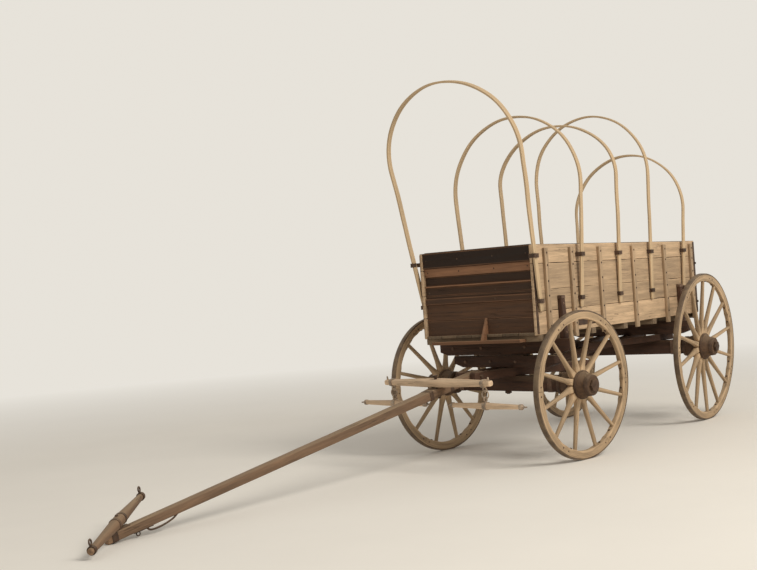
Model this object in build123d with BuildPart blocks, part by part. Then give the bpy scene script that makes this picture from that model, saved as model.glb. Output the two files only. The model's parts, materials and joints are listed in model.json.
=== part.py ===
from build123d import *
import os
from math import acos, asin, atan2, ceil, cos, pi, radians, sin, sqrt, tan

# Covered wagon with its cover off: a plank box on a wooden running gear with four
# dished wheels, five bare bows, a tongue whose tip lies on the ground, a doubletree,
# two singletrees and a neck yoke. Millimetres. +X is the way it travels, +Y its left
# side, +Z up. The ground is z = 0 and the origin is under the middle of the whole.
# Pieces are placed in frames whose x is 0 at an axle and whose y is 0 on the centre line.

os.makedirs("parts", exist_ok=True)

# Driving dimensions of the running gear
KING_X = -516.405          # king bolt and front axle, from the origin
CENTRE_Y = 56.963          # the wagon's centre line, because its turned gear reaches right
WHEELBASE = 2240.0
HALF_TRACK = 733.0         # middle of the tyre from the centre line
FRONT_RADIUS = 559.0       # 44 inch front wheel
REAR_RADIUS = 660.0        # 52 inch rear wheel
AXLE_DIP = 2.0             # degrees that each axle arm points down at its tip
GEAR_TURN = -9.2           # degrees that the front gear stands turned to the right

# Driving dimensions of the box
BOX_FRONT = 372.0          # ahead of the king bolt
BOX_LENGTH = 3050.0
BOX_WIDTH = 1022.0
BOX_BOTTOM = 906.0         # top of the bolsters
BOX_TOP = 1630.0
LOWER_SIDE_TOP = 1290.0
BOARD = 22.0
SILL = 46.0
SILL_WIDTH = 70.0
END_SILL_INSET = 60.0      # from an end of the box to the middle of its end sill
FLOOR_BOARDS = 7
FLOOR_JOINT = 3.0          # width and depth of the open joints between them
END_INSET = 24.0           # from an end of the box to the board that closes it
HOUSING = 3.0              # how deep that board stands in the floor
CLEATS = (190.0, -215.0, -700.0, -1320.0, -1960.0, -2558.0)
CLEAT_WIDTH = 52.0
CLEAT_THICK = 24.0
CLEAT_BELOW_TOP = 28.0
SILLS = (0.0, -540.0, -1120.0, -1700.0, -WHEELBASE)
FRONT_STEPS = [
    # top of the step, how far it stands ahead of the board's plain face
    (1220.0, 0.0),
    (1270.0, 14.0),
    (1358.0, 0.0),
    (1370.0, 12.0),
    (1440.0, -6.0),
    (1510.0, 4.0),
    (BOX_TOP, 18.0),
]
GATE_GAP = 6.0
GUIDE = 20.0
FOOTBOARD_AHEAD = 70.0     # ahead of the box
FOOTBOARD_HALF = 400.0
FOOTBOARD_THICK = 24.0
BRACKET_TOP = 1100.0
BRACKET_ASIDE = 60.0       # left of the centre line

# Tongue and draught gear
TONGUE_PIVOT = 420.0       # ahead of the king bolt
TONGUE_LENGTH = 3290.0     # from its pivot to its tip
TONGUE_BACK = 60.0         # behind its pivot
TONGUE_ROOT = (88.0, 66.0)
TONGUE_TIP = (60.0, 58.0)
TONGUE_STRAIGHT = 465.0    # where it starts to taper, ahead of its pivot
DOUBLETREE_AHEAD = 385.0   # ahead of the tongue's pivot
DOUBLETREE_LENGTH = 1080.0
DOUBLETREE_GAP = 5.0       # wear plate and play between it and the tongue
HOOK_SPREAD = 470.0        # from the middle to each singletree hook
SINGLETREE_LENGTH = 660.0
NECK_YOKE_LENGTH = 965.0
NECK_YOKE_BACK = 105.0     # its pin's place behind the tongue's tip
NECK_YOKE_TURN = 40.0      # degrees between the yoke and the tongue where it lies
NECK_YOKE_GAP = 9.0        # between it and the tongue, with the pin's plate
PIN = 11.0                 # radius of the doubletree's pin
PIN_PLAY = 1.0
PIN_PLATE = 4.0
YOKE_PIN = 9.0
YOKE_PLATE = 5.0
ROD = 10.0                 # thickness of the forged rings
EYE = 17.0                 # middle radius of an eye
RING = 31.0                # middle radius of a singletree's ring
RING_SLACK = 4.0           # how far a ring's rod hangs from the middle of an eye
BAND = 6.0                 # thickness of the iron straps
BAND_PLAY = 1.0
SUNK = 3.0                 # how far an eye is forged into its strap
TRACE_EYE = 10.0           # hole in each end of a singletree
TRACE_EYE_OUT = 30.0
TRACE_EYE_THICK = 9.0
TRACE_EYE_WALL = 9.0

# Planed bars: along, width, depth and the size of the four corners cut off
TONGUE_BAR = [
    (-TONGUE_BACK, *TONGUE_ROOT, 6.0),
    (TONGUE_STRAIGHT, *TONGUE_ROOT, 6.0),
    (TONGUE_LENGTH, *TONGUE_TIP, 14.0),
]
DOUBLETREE_BAR = [(0.0, 92.0, 56.0, 12.0), (60.0, 92.0, 56.0, 12.0), (540.0, 50.0, 40.0, 13.0)]
SINGLETREE_BAR = [(0.0, 52.0, 46.0, 12.0), (30.0, 52.0, 46.0, 12.0), (330.0, 34.0, 32.0, 10.0)]
NECK_YOKE_BAR = [(0.0, 68.0, 68.0, 19.0), (45.0, 68.0, 68.0, 19.0), (482.5, 40.0, 40.0, 11.0)]

# Heights of the layers over the front axle
FRONT_HUB_Z = FRONT_RADIUS * cos(radians(AXLE_DIP))
REAR_HUB_Z = REAR_RADIUS * cos(radians(AXLE_DIP))
AXLE_TOP = 625.0
AXLE_HEIGHT = 120.0
HOUND_TOP = 692.0
SAND_BOARD_TOP = 782.0
RUB_PLATE = 6.0
RUB_PLATE_SPAN = 420.0
RUB_GAP = 1.0
BOLSTER_BOTTOM = SAND_BOARD_TOP + 2 * RUB_PLATE + RUB_GAP
TIMBER = 92.0              # fore and aft size of axles and bolsters
KING_RADIUS = 14.0
KING_CLEARANCE = 1.0
KING_NUT = 18.0

# Hounds: the front pair holds the tongue's root, the rear pair braces the reach
HOUND = 50.0
HOUND_TAIL = 620.0
HOUND_SPREAD = 300.0
JAW_PLAY = 6.0
SWAY_BAR = (60.0, 48.0)    # fore and aft, and high
SWAY_BAR_BACK = 560.0
REAR_HOUND = 46.0
REAR_HOUND_TAIL = 150.0
REAR_HOUND_SPREAD = 324.0
REAR_HOUND_NOSE = 1010.0

# Rear gear
REAR_AXLE_TOP = 726.0
REAR_AXLE_HEIGHT = 126.0
REACH_WIDTH = 88.0
REACH_HEIGHT = 57.0
REACH_FRONT = 62.0         # ahead of the king bolt
REACH_GAP = 5.0            # between the reach and the front axle and sand board
REACH_TAIL = 260.0         # behind the rear axle
TAIL_HOLE = 12.0           # pin hole in the reach's tail
TAIL_HOLE_BACK = 200.0

# Wheels: places along a wheel's axle are measured outward from the tyre's middle
HUB_INNER = -185.0
HUB_OUTER = 95.0
HUB_INNER_RADIUS = 84.0
HUB_OUTER_RADIUS = 72.0
DISH = 35.0                # how far the spokes' feet stand inside the tyre's middle
SPOKE_BAND = 30.0          # half the length of the hub's middle, which has a flat per spoke
TYRE_WIDTH = 44.0
TYRE_THICK = 12.0
FELLOE_DEPTH = 56.0
FELLOE_WIDTH = 42.0
FELLOE_SIDES = 48
ARM_RADIUS = 34.0
ARM_CLEARANCE = 0.5
AXLE_END = -204.0          # where the wooden axle stops, along the arm
COLLAR_RADIUS = 62.0
COLLAR = 12.0
NUT_GAP = 3.0
NUT = 20.0
NUT_RADIUS = 46.0
SPOKE_FOOT_DEPTH = 48.0
SPOKE_FOOT_GAP = 3.0
SPOKE_THROAT = (36.0, 42.0)
SPOKE_TONGUE = (28.0, 32.0)
THROAT_SHARE = 0.22        # how far along a spoke its throat is
WHEELS = [
    # name, rear, side, spokes, hub flat from the axle
    ("front_left", False, 1, 12, 104.0),
    ("front_right", False, -1, 12, 104.0),
    ("rear_left", True, 1, 14, 114.0),
    ("rear_right", True, -1, 14, 114.0),
]

# Bows
BOW_WIDTH = 44.0           # the bent strip, along the wagon
BOW_THICK = 17.0
BOW_STEP = 6.0             # degrees that the strip turns at each of its short straights
BOW_FOOT_Z = 1130.0
BOW_MARK_Z = 1200.0        # height at which a bow's place along the box is given
BOW_FOOT_HALF = BOX_WIDTH / 2 + 13.0
BOWS = [
    # along, half_width, spring_z, rise, lean_forward
    (318.0, 595.0, 2306.0, 599.0, 12.2),
    (-334.0, 592.0, 2149.0, 553.0, 0.0),
    (-1024.0, 566.0, 2208.0, 465.0, 0.0),
    (-1654.0, 560.0, 2228.0, 572.0, 0.0),
    (-2346.0, 551.0, 1894.0, 597.0, -3.4),
]
STAPLE_HEIGHTS = (1205.0, 1545.0)
STAPLE_THICK = 6.0
STAPLE_HEIGHT = 32.0
STAPLE_PLAY = 0.5

# Places worked out from them
BOX_REAR = BOX_FRONT - BOX_LENGTH
BOX_MIDDLE = (BOX_FRONT + BOX_REAR) / 2
HALF_BOX = BOX_WIDTH / 2
INSIDE = BOX_WIDTH - 2 * BOARD
FLOOR_BOTTOM = BOX_BOTTOM + SILL
FLOOR_TOP = FLOOR_BOTTOM + BOARD
FRONT_FACE = BOX_FRONT - END_INSET
FRONT_BACK = FRONT_FACE - BOARD
GATE_X = BOX_REAR + END_INSET + GUIDE + GATE_GAP + BOARD / 2
STAKE_PLACE = HALF_BOX + 24.0

turn = radians(GEAR_TURN)
dip = radians(AXLE_DIP)
KING = (KING_X, CENTRE_Y, 0)
ROOT = Plane(origin=KING, x_dir=(1, 0, 0), z_dir=(0, 0, 1))
REAR = Plane(origin=(KING_X - WHEELBASE, CENTRE_Y, 0), x_dir=(1, 0, 0), z_dir=(0, 0, 1))
GEAR = Plane(origin=KING, x_dir=(cos(turn), sin(turn), 0), z_dir=(0, 0, 1))

# The tongue slopes from its pivot down to the ground
TONGUE_PIVOT_Z = (AXLE_TOP + HOUND_TOP) / 2
slope = asin((TONGUE_PIVOT_Z - TONGUE_TIP[1] / 2) / TONGUE_LENGTH)
pivot = GEAR.from_local_coords(Vector(TONGUE_PIVOT, 0, TONGUE_PIVOT_Z))
along = GEAR.x_dir * cos(slope) - GEAR.z_dir * sin(slope)
above = GEAR.x_dir * sin(slope) + GEAR.z_dir * cos(slope)
TONGUE = Plane(origin=pivot, x_dir=along, z_dir=above)


def front_view(frame, ahead=0.0):
    """The plane across the wagon in a frame: its x is to the left, its y is up."""
    origin = frame.from_local_coords(Vector(ahead, 0, 0))
    return Plane(origin=origin, x_dir=frame.y_dir, z_dir=frame.x_dir)


def side_view(frame, left=0.0):
    """The plane along the wagon in a frame: its x is forward, its y is up."""
    origin = frame.from_local_coords(Vector(0, left, 0))
    return Plane(origin=origin, x_dir=frame.x_dir, z_dir=-frame.y_dir)


def level(frame, height, ahead=0.0):
    """The level plane of a frame at a height."""
    origin = frame.from_local_coords(Vector(ahead, 0, height))
    return Plane(origin=origin, x_dir=frame.x_dir, z_dir=frame.z_dir)


def crosswise(frame, ahead, height):
    """A bar's frame across another one: its x is to the left, its z is up."""
    origin = frame.from_local_coords(Vector(ahead, 0, height))
    return Plane(origin=origin, x_dir=frame.y_dir, z_dir=frame.z_dir)


def save(piece, name):
    """Label a finished piece and write it."""
    piece.part.label = name
    export_step(piece.part, f"parts/{name}.step")


def both_ways(stations):
    """The stations of a bar that is the same on both sides of its middle."""
    return [(-row[0], *row[1:]) for row in reversed(stations[1:])] + stations[1:]


def reach_of(angle, width, depth, corner):
    """How far an eight-sided section reaches from its middle in one direction."""
    if angle == 0:
        return width / 2
    if angle == 90:
        return depth / 2
    return ((width + depth) / 2 - corner) / sqrt(2)


def planed(frame, stations, lifts=None):
    """A bar along a frame's x, planed flat on eight sides. Width lies along y, depth along z."""
    lifts = lifts or [0.0] * len(stations)
    room = sum(stations[0][1:3]) + sum(stations[-1][1:3]) + max(map(abs, lifts))
    with BuildPart(mode=Mode.PRIVATE) as bar:
        for angle in (0, 45, 90, 135):
            a = radians(angle)
            across = frame.y_dir * cos(a) + frame.z_dir * sin(a)
            high = []
            low = []
            for (s, width, depth, corner), lift in zip(stations, lifts):
                half = reach_of(angle, width, depth, corner)
                high.append((s, lift * sin(a) + half))
                low.append((s, lift * sin(a) - half))
            with BuildSketch(Plane(origin=frame.origin, x_dir=frame.x_dir,
                                   z_dir=frame.x_dir.cross(across))):
                Polygon(*high, *reversed(low), align=None)
            extrude(amount=room, both=True, mode=Mode.INTERSECT if angle else Mode.ADD)
    return bar.part


def size_at(stations, s):
    """Width and depth of a planed bar at a distance along it."""
    for first, second in zip(stations, stations[1:]):
        if s <= second[0]:
            share = (s - first[0]) / (second[0] - first[0])
            return [a + (b - a) * share for a, b in zip(first[1:3], second[1:3])]
    return list(stations[-1][1:3])


def box_floor():
    """Long floor boards with open joints, housings for the end boards, and cross sills."""
    width = INSIDE / FLOOR_BOARDS
    joints = [(BOX_MIDDLE, (i - FLOOR_BOARDS / 2) * width) for i in range(1, FLOOR_BOARDS)]
    gate_front = GATE_X + BOARD / 2 + GATE_GAP / 2
    with BuildPart() as floor:
        with BuildSketch(level(ROOT, FLOOR_BOTTOM)):
            with Locations((BOX_MIDDLE, 0)):
                Rectangle(BOX_LENGTH, INSIDE)
        extrude(amount=BOARD)
        with BuildSketch(level(ROOT, FLOOR_TOP)):
            with Locations(joints):
                Rectangle(BOX_LENGTH, FLOOR_JOINT)
            with Locations(((FRONT_BACK + BOX_FRONT) / 2, 0)):
                Rectangle(BOX_FRONT - FRONT_BACK, INSIDE)
            with Locations(((gate_front + BOX_REAR) / 2, 0)):
                Rectangle(gate_front - BOX_REAR, INSIDE)
        extrude(amount=-HOUSING, mode=Mode.SUBTRACT)
    save(floor, "floor")

    ends = (BOX_FRONT - END_SILL_INSET, BOX_REAR + END_SILL_INSET)
    with BuildPart() as sills:
        with BuildSketch(level(ROOT, BOX_BOTTOM)):
            with Locations([(x, 0) for x in SILLS + ends]):
                Rectangle(SILL_WIDTH, BOX_WIDTH)
        extrude(amount=SILL)
    save(sills, "floor_sills")


def box_sides():
    """Lower sides, lift-off top sides and the cleats that stand against them."""
    with BuildPart() as cleats:
        with BuildSketch(level(ROOT, BOX_BOTTOM)):
            with Locations([(x, side * (HALF_BOX + CLEAT_THICK / 2))
                            for side in (1, -1) for x in CLEATS]):
                Rectangle(CLEAT_WIDTH, CLEAT_THICK)
        extrude(amount=BOX_TOP - BOX_BOTTOM - CLEAT_BELOW_TOP)
    save(cleats, "side_cleats")

    for name, side in (("left", 1), ("right", -1)):
        wall = side * (HALF_BOX - BOARD / 2)
        with BuildPart() as lower:
            with BuildSketch(level(ROOT, FLOOR_BOTTOM)):
                with Locations((BOX_MIDDLE, wall)):
                    Rectangle(BOX_LENGTH, BOARD)
            extrude(amount=LOWER_SIDE_TOP - FLOOR_BOTTOM)
        save(lower, f"side_{name}")

        with BuildPart() as upper:
            with BuildSketch(level(ROOT, LOWER_SIDE_TOP)):
                with Locations((BOX_MIDDLE, wall)):
                    Rectangle(BOX_LENGTH, BOARD)
            extrude(amount=BOX_TOP - LOWER_SIDE_TOP)
        save(upper, f"top_side_{name}")


def stepped(bottom, top):
    """The outline of a front board between two heights, seen from the side."""
    outline = [(FRONT_BACK, bottom)]
    below = bottom
    for height, proud in FRONT_STEPS:
        if height > bottom and below < top:
            face = FRONT_FACE + proud
            outline += [(face, below), (face, min(height, top))]
            below = height
    return outline + [(FRONT_BACK, top)]


def front_boards():
    """The boards across the front, in steps: a batten low down, a ledge and a top rail."""
    for name, bottom, top in (("front_board", FLOOR_TOP - HOUSING, LOWER_SIDE_TOP),
                              ("top_front_board", LOWER_SIDE_TOP, BOX_TOP)):
        with BuildPart() as front:
            with BuildSketch(side_view(ROOT)):
                Polygon(*stepped(bottom, top), align=None)
            extrude(amount=INSIDE / 2, both=True)
        save(front, name)

    back = BOX_FRONT - END_SILL_INSET + SILL_WIDTH / 2
    nose = BOX_FRONT + FOOTBOARD_AHEAD
    top = BOX_BOTTOM + FOOTBOARD_THICK
    with BuildPart() as footboard:
        with BuildSketch(level(ROOT, BOX_BOTTOM)):
            Polygon((back, FOOTBOARD_HALF), (nose, FOOTBOARD_HALF), (nose, -FOOTBOARD_HALF),
                    (back, -FOOTBOARD_HALF), align=None)
        extrude(amount=FOOTBOARD_THICK)
        with BuildSketch(side_view(ROOT, BRACKET_ASIDE)):
            Polygon((BOX_FRONT, top), (nose - 8, top), (FRONT_FACE, BRACKET_TOP),
                    (FRONT_FACE, FLOOR_TOP), (BOX_FRONT, FLOOR_TOP), align=None)
        extrude(amount=BOARD / 2, both=True)
    save(footboard, "footboard")


def tail_gate():
    """The end gate, which lifts out between its guides."""
    with BuildPart() as gate:
        with BuildSketch(level(ROOT, FLOOR_TOP - HOUSING)):
            with Locations((GATE_X, 0)):
                Rectangle(BOARD, INSIDE - 2 * GATE_GAP)
        extrude(amount=BOX_TOP - FLOOR_TOP + HOUSING)
    save(gate, "end_gate")

    reach = BOARD / 2 + GATE_GAP + GUIDE / 2
    with BuildPart() as guides:
        for i, foot in ((1, FLOOR_TOP), (-1, FLOOR_TOP - HOUSING)):
            with BuildSketch(level(ROOT, foot)):
                with Locations([(GATE_X + i * reach, j * (INSIDE - GUIDE) / 2) for j in (-1, 1)]):
                    Rectangle(GUIDE, GUIDE)
            extrude(amount=BOX_TOP - GUIDE - foot)
    save(guides, "end_gate_guides")


def arc_points(centre, radius, start, end):
    """Points along an arc, a few degrees apart."""
    steps = ceil(abs(end - start) / radians(BOW_STEP))
    turns = [start + (end - start) * i / steps for i in range(steps + 1)]
    return [(centre[0] + radius * cos(a), centre[1] + radius * sin(a)) for a in turns]


def bow_half(half_width, spring_z, rise, tilt):
    """The line of a bow's left half, from its foot to its crown, and how far its leg leans."""
    foot = (BOW_FOOT_HALF, BOW_FOOT_Z - BOW_MARK_Z)
    top = (spring_z - BOW_MARK_Z) / cos(tilt) + rise
    rounded = rise >= 0.93 * half_width
    shoulder = half_width if rounded else 0.8 * rise
    centre = (half_width - shoulder, top - (half_width if rounded else rise))
    # The leg runs from the foot to where it touches the shoulder's circle
    dx = foot[0] - centre[0]
    dy = centre[1] - foot[1]
    leg_lean = atan2(dy, dx) - acos(shoulder / sqrt(dx * dx + dy * dy))
    if rounded:
        half = [foot] + arc_points(centre, shoulder, -leg_lean, pi / 2)
    else:
        # A wider circle through the crown's top touches both shoulders
        gap = rise - shoulder
        crown = (centre[0] ** 2 + gap * gap) / (2 * gap) + shoulder
        join = atan2(crown - shoulder - gap, centre[0])
        half = [foot] + arc_points(centre, shoulder, -leg_lean, join)
        half += arc_points((0, top - crown), crown, join, pi / 2)[1:]
    return half, leg_lean


def bow(name, ahead, half_width, spring_z, rise, lean):
    """A flat strip bent to an arch: legs that lean out a little, shoulders and a crown."""
    tilt = radians(lean)
    half = bow_half(half_width, spring_z, rise, tilt)[0]
    origin = ROOT.from_local_coords(Vector(ahead, 0, BOW_MARK_Z))
    plane = Plane(origin=origin, x_dir=(0, 1, 0), z_dir=(cos(tilt), 0, -sin(tilt)))
    with BuildPart() as arch:
        with BuildLine(plane) as path:
            Polyline(*half, *[(-y, z) for y, z in reversed(half[:-1])])
        with BuildSketch(Plane(origin=path.line @ 0, x_dir=plane.z_dir, z_dir=path.line % 0)):
            Rectangle(BOW_WIDTH, BOW_THICK)
        sweep(path=path.line, transition=Transition.RIGHT)
    save(arch, name)


def bow_staples():
    """Flat iron straps that hold the bows' legs against the box."""
    half_strap = STAPLE_HEIGHT / 2
    with BuildPart() as staples:
        for side in (1, -1):
            for z in STAPLE_HEIGHTS:
                for ahead, half_width, spring_z, rise, lean in BOWS:
                    tilt = radians(lean)
                    leg_lean = bow_half(half_width, spring_z, rise, tilt)[1]
                    x = ahead + (z - BOW_MARK_Z) * tan(tilt)
                    height = (z - BOW_MARK_Z) / cos(tilt) + BOW_MARK_Z - BOW_FOOT_Z
                    y = BOW_FOOT_HALF + height * tan(leg_lean)
                    half = BOW_WIDTH / 2 / cos(tilt) + half_strap * abs(tan(tilt)) + STAPLE_PLAY
                    inner = BOW_THICK / 2 / cos(leg_lean) + half_strap * tan(abs(leg_lean))
                    out = y + inner + STAPLE_PLAY + STAPLE_THICK
                    with BuildSketch(level(ROOT, z - STAPLE_HEIGHT / 2)):
                        with Locations((x, side * (HALF_BOX + out) / 2)):
                            Rectangle(2 * (half + STAPLE_THICK), out - HALF_BOX)
                        with Locations((x, side * (HALF_BOX + out - STAPLE_THICK) / 2)):
                            Rectangle(2 * half, out - STAPLE_THICK - HALF_BOX, mode=Mode.SUBTRACT)
                    extrude(amount=STAPLE_HEIGHT)
    save(staples, "bow_staples")


def cross_beam(name, frame, half, bottom, top, cut, hole):
    """A beam across the gear, its ends cut back underneath, with a hole for the king bolt."""
    with BuildPart() as beam:
        with BuildSketch(front_view(frame)):
            Polygon((-half, top), (-half, bottom + cut), (-half + 3 * cut, bottom),
                    (half - 3 * cut, bottom), (half, bottom + cut), (half, top), align=None)
        extrude(amount=TIMBER / 2, both=True)
        if hole:
            with BuildSketch(level(frame, bottom)):
                Circle(hole)
            extrude(amount=top - bottom, mode=Mode.SUBTRACT)
    save(beam, name)


def stakes():
    """Upright stakes on both bolsters, one at each side of the box, tapered upwards."""
    height = 330.0
    foot = 46.0
    top = 30.0
    width = 58.0
    inner = HALF_BOX + 1.0
    with BuildPart() as posts:
        for x in (0, -WHEELBASE):
            for side in (1, -1):
                with BuildSketch(front_view(ROOT, x)):
                    Polygon((side * inner, BOX_BOTTOM), (side * (inner + foot), BOX_BOTTOM),
                            (side * (inner + top), BOX_BOTTOM + height),
                            (side * inner, BOX_BOTTOM + height), align=None)
                extrude(amount=width / 2, both=True)
    save(posts, "bolster_stakes")


def axle(name, frame, hub_z, top, height, hole):
    """The wooden axle, its ends square to the dipping arms."""
    reach = HALF_TRACK + AXLE_END * cos(dip)
    centre = hub_z - AXLE_END * sin(dip)
    bottom = top - height
    high = reach + (top - centre) * tan(dip)
    low = reach + (bottom - centre) * tan(dip)
    with BuildPart() as beam:
        with BuildSketch(front_view(frame)):
            Polygon((-high, top), (-low, bottom), (low, bottom), (high, top), align=None)
        extrude(amount=TIMBER / 2, both=True)
        if hole:
            with BuildSketch(level(frame, bottom)):
                Circle(hole)
            extrude(amount=height, mode=Mode.SUBTRACT)
    save(beam, name)


def arm_plane(frame, side, hub_z):
    """The wheel's own plane: origin in the tyre's middle, z out along the axle arm."""
    out = frame.y_dir * side * cos(dip) - frame.z_dir * sin(dip)
    centre = frame.from_local_coords(Vector(0, side * HALF_TRACK, hub_z))
    return Plane(origin=centre, x_dir=frame.x_dir, z_dir=out)


def arms(name, frame, hub_z):
    """Iron arms that the wheels turn on, each with its collar and its nut."""
    collar_sides = 16
    nut_place = HUB_OUTER + NUT_GAP
    with BuildPart() as pair:
        for side in (1, -1):
            face = arm_plane(frame, side, hub_z)
            with BuildSketch(face.offset(AXLE_END)):
                RegularPolygon(COLLAR_RADIUS, collar_sides)
            extrude(amount=COLLAR)
            with BuildSketch(face.offset(AXLE_END + COLLAR)):
                Circle(ARM_RADIUS)
            extrude(amount=nut_place - AXLE_END - COLLAR)
            with BuildSketch(face.offset(nut_place)):
                RegularPolygon(NUT_RADIUS, 6)
            extrude(amount=NUT)
    save(pair, name)


def tapered(plane, sides, near, far):
    """A block with flat sides between two regular outlines: each a place and a flat's radius."""
    rings = []
    for place, flat in (near, far):
        corner = flat / cos(pi / sides)
        angles = [2 * pi * i / sides for i in range(sides)]
        rings.append([plane.from_local_coords(Vector(corner * cos(a), corner * sin(a), place))
                      for a in angles])
    first, second = rings
    loops = [first, second]
    loops += [[first[i - 1], first[i], second[i], second[i - 1]] for i in range(sides)]
    return Solid(Shell([Face(Wire.make_polygon(loop)) for loop in loops]))


def wheel(name, rear, side, count, flat):
    """A dished wheel: tyre, felloes, hub, and spokes that stand on the hub's flats."""
    frame = REAR if rear else GEAR
    radius = REAR_RADIUS if rear else FRONT_RADIUS
    face = arm_plane(frame, side, REAR_HUB_Z if rear else FRONT_HUB_Z)
    half_tyre = TYRE_WIDTH / 2
    seat = radius - TYRE_THICK
    rim = seat - FELLOE_DEPTH

    # The tread is coned by the arm's dip, so the tyre lies flat on the ground
    cone = tan(dip)
    with BuildPart() as tyre:
        with BuildSketch(Plane(origin=face.origin, x_dir=face.x_dir, z_dir=-face.y_dir)):
            Polygon((seat, -half_tyre), (radius + half_tyre * cone, -half_tyre),
                    (radius - half_tyre * cone, half_tyre), (seat, half_tyre), align=None)
        revolve(axis=Axis(face.origin, face.z_dir))
    save(tyre, f"wheel_{name}_tyre")

    # The inner flats are turned half a side, so that a spoke meets the middle of one
    with BuildPart() as felloes:
        with BuildSketch(face):
            RegularPolygon(seat, FELLOE_SIDES)
            RegularPolygon(rim, 2 * count, major_radius=False, rotation=90 / count,
                           mode=Mode.SUBTRACT)
        extrude(amount=FELLOE_WIDTH / 2, both=True)
    save(felloes, f"wheel_{name}_felloes")

    inner = -DISH - SPOKE_BAND
    outer = -DISH + SPOKE_BAND
    with BuildPart() as hub:
        with BuildSketch(face.offset(inner)):
            RegularPolygon(flat, count, major_radius=False)
        extrude(amount=outer - inner)
        add(tapered(face, count, (inner, flat), (HUB_INNER, HUB_INNER_RADIUS)))
        add(tapered(face, count, (outer, flat), (HUB_OUTER, HUB_OUTER_RADIUS)))
        with BuildSketch(face.offset(HUB_INNER)):
            Circle(ARM_RADIUS + ARM_CLEARANCE)
        extrude(amount=HUB_OUTER - HUB_INNER, mode=Mode.SUBTRACT)
    save(hub, f"wheel_{name}_hub")

    # Each spoke leans outward from its foot on the hub to its tongue in the rim
    foot_width = 2 * flat * tan(pi / count) - SPOKE_FOOT_GAP
    throat = flat + (rim - flat) * THROAT_SHARE
    stations = [(flat, foot_width, SPOKE_FOOT_DEPTH, 3.0), (throat, *SPOKE_THROAT, 10.0),
                (rim, *SPOKE_TONGUE, 9.0)]
    spoke = planed(Plane.XY, stations, [-DISH, -DISH * (1 - THROAT_SHARE), 0.0])
    with BuildPart(face) as spokes:
        with PolarLocations(0, count, start_angle=180 / count):
            add(spoke)
    save(spokes, f"wheel_{name}_spokes")


def rear_gear():
    """Rear axle, bolster and arms, with the reach and its two hounds."""
    axle("rear_axle", REAR, REAR_HUB_Z, REAR_AXLE_TOP, REAR_AXLE_HEIGHT, None)
    arms("rear_arms", REAR, REAR_HUB_Z)
    cross_beam("rear_bolster", REAR, STAKE_PLACE + 62.0, REAR_AXLE_TOP + REACH_HEIGHT, BOX_BOTTOM,
               26.0, None)

    low = AXLE_TOP + REACH_GAP
    high = REAR_AXLE_TOP
    behind = -WHEELBASE + TIMBER / 2
    tail = -WHEELBASE - REACH_TAIL
    with BuildPart() as reach:
        with BuildSketch(side_view(ROOT)):
            Polygon((REACH_FRONT, low), (REACH_FRONT, low + REACH_HEIGHT),
                    (-REACH_FRONT, low + REACH_HEIGHT), (behind, high + REACH_HEIGHT),
                    (tail, high + REACH_HEIGHT), (tail, high), (behind, high),
                    (-REACH_FRONT, low), align=None)
        extrude(amount=REACH_WIDTH / 2, both=True)
        with BuildSketch(level(ROOT, AXLE_TOP)):
            Circle(KING_RADIUS)
            with Locations((-WHEELBASE - TAIL_HOLE_BACK, 0)):
                Circle(TAIL_HOLE)
        extrude(amount=BOX_BOTTOM - AXLE_TOP, mode=Mode.SUBTRACT)
    save(reach, "reach")

    near = REACH_WIDTH / 2
    with BuildPart() as hounds:
        for side in (1, -1):
            with BuildSketch(level(REAR, REAR_AXLE_TOP)):
                Polygon((-REAR_HOUND_TAIL, side * (REAR_HOUND_SPREAD + REAR_HOUND)),
                        (-REAR_HOUND_TAIL, side * REAR_HOUND_SPREAD),
                        (REAR_HOUND_NOSE, side * near),
                        (REAR_HOUND_NOSE, side * (near + REAR_HOUND)), align=None)
            extrude(amount=REACH_HEIGHT)
    save(hounds, "rear_hounds")


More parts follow.
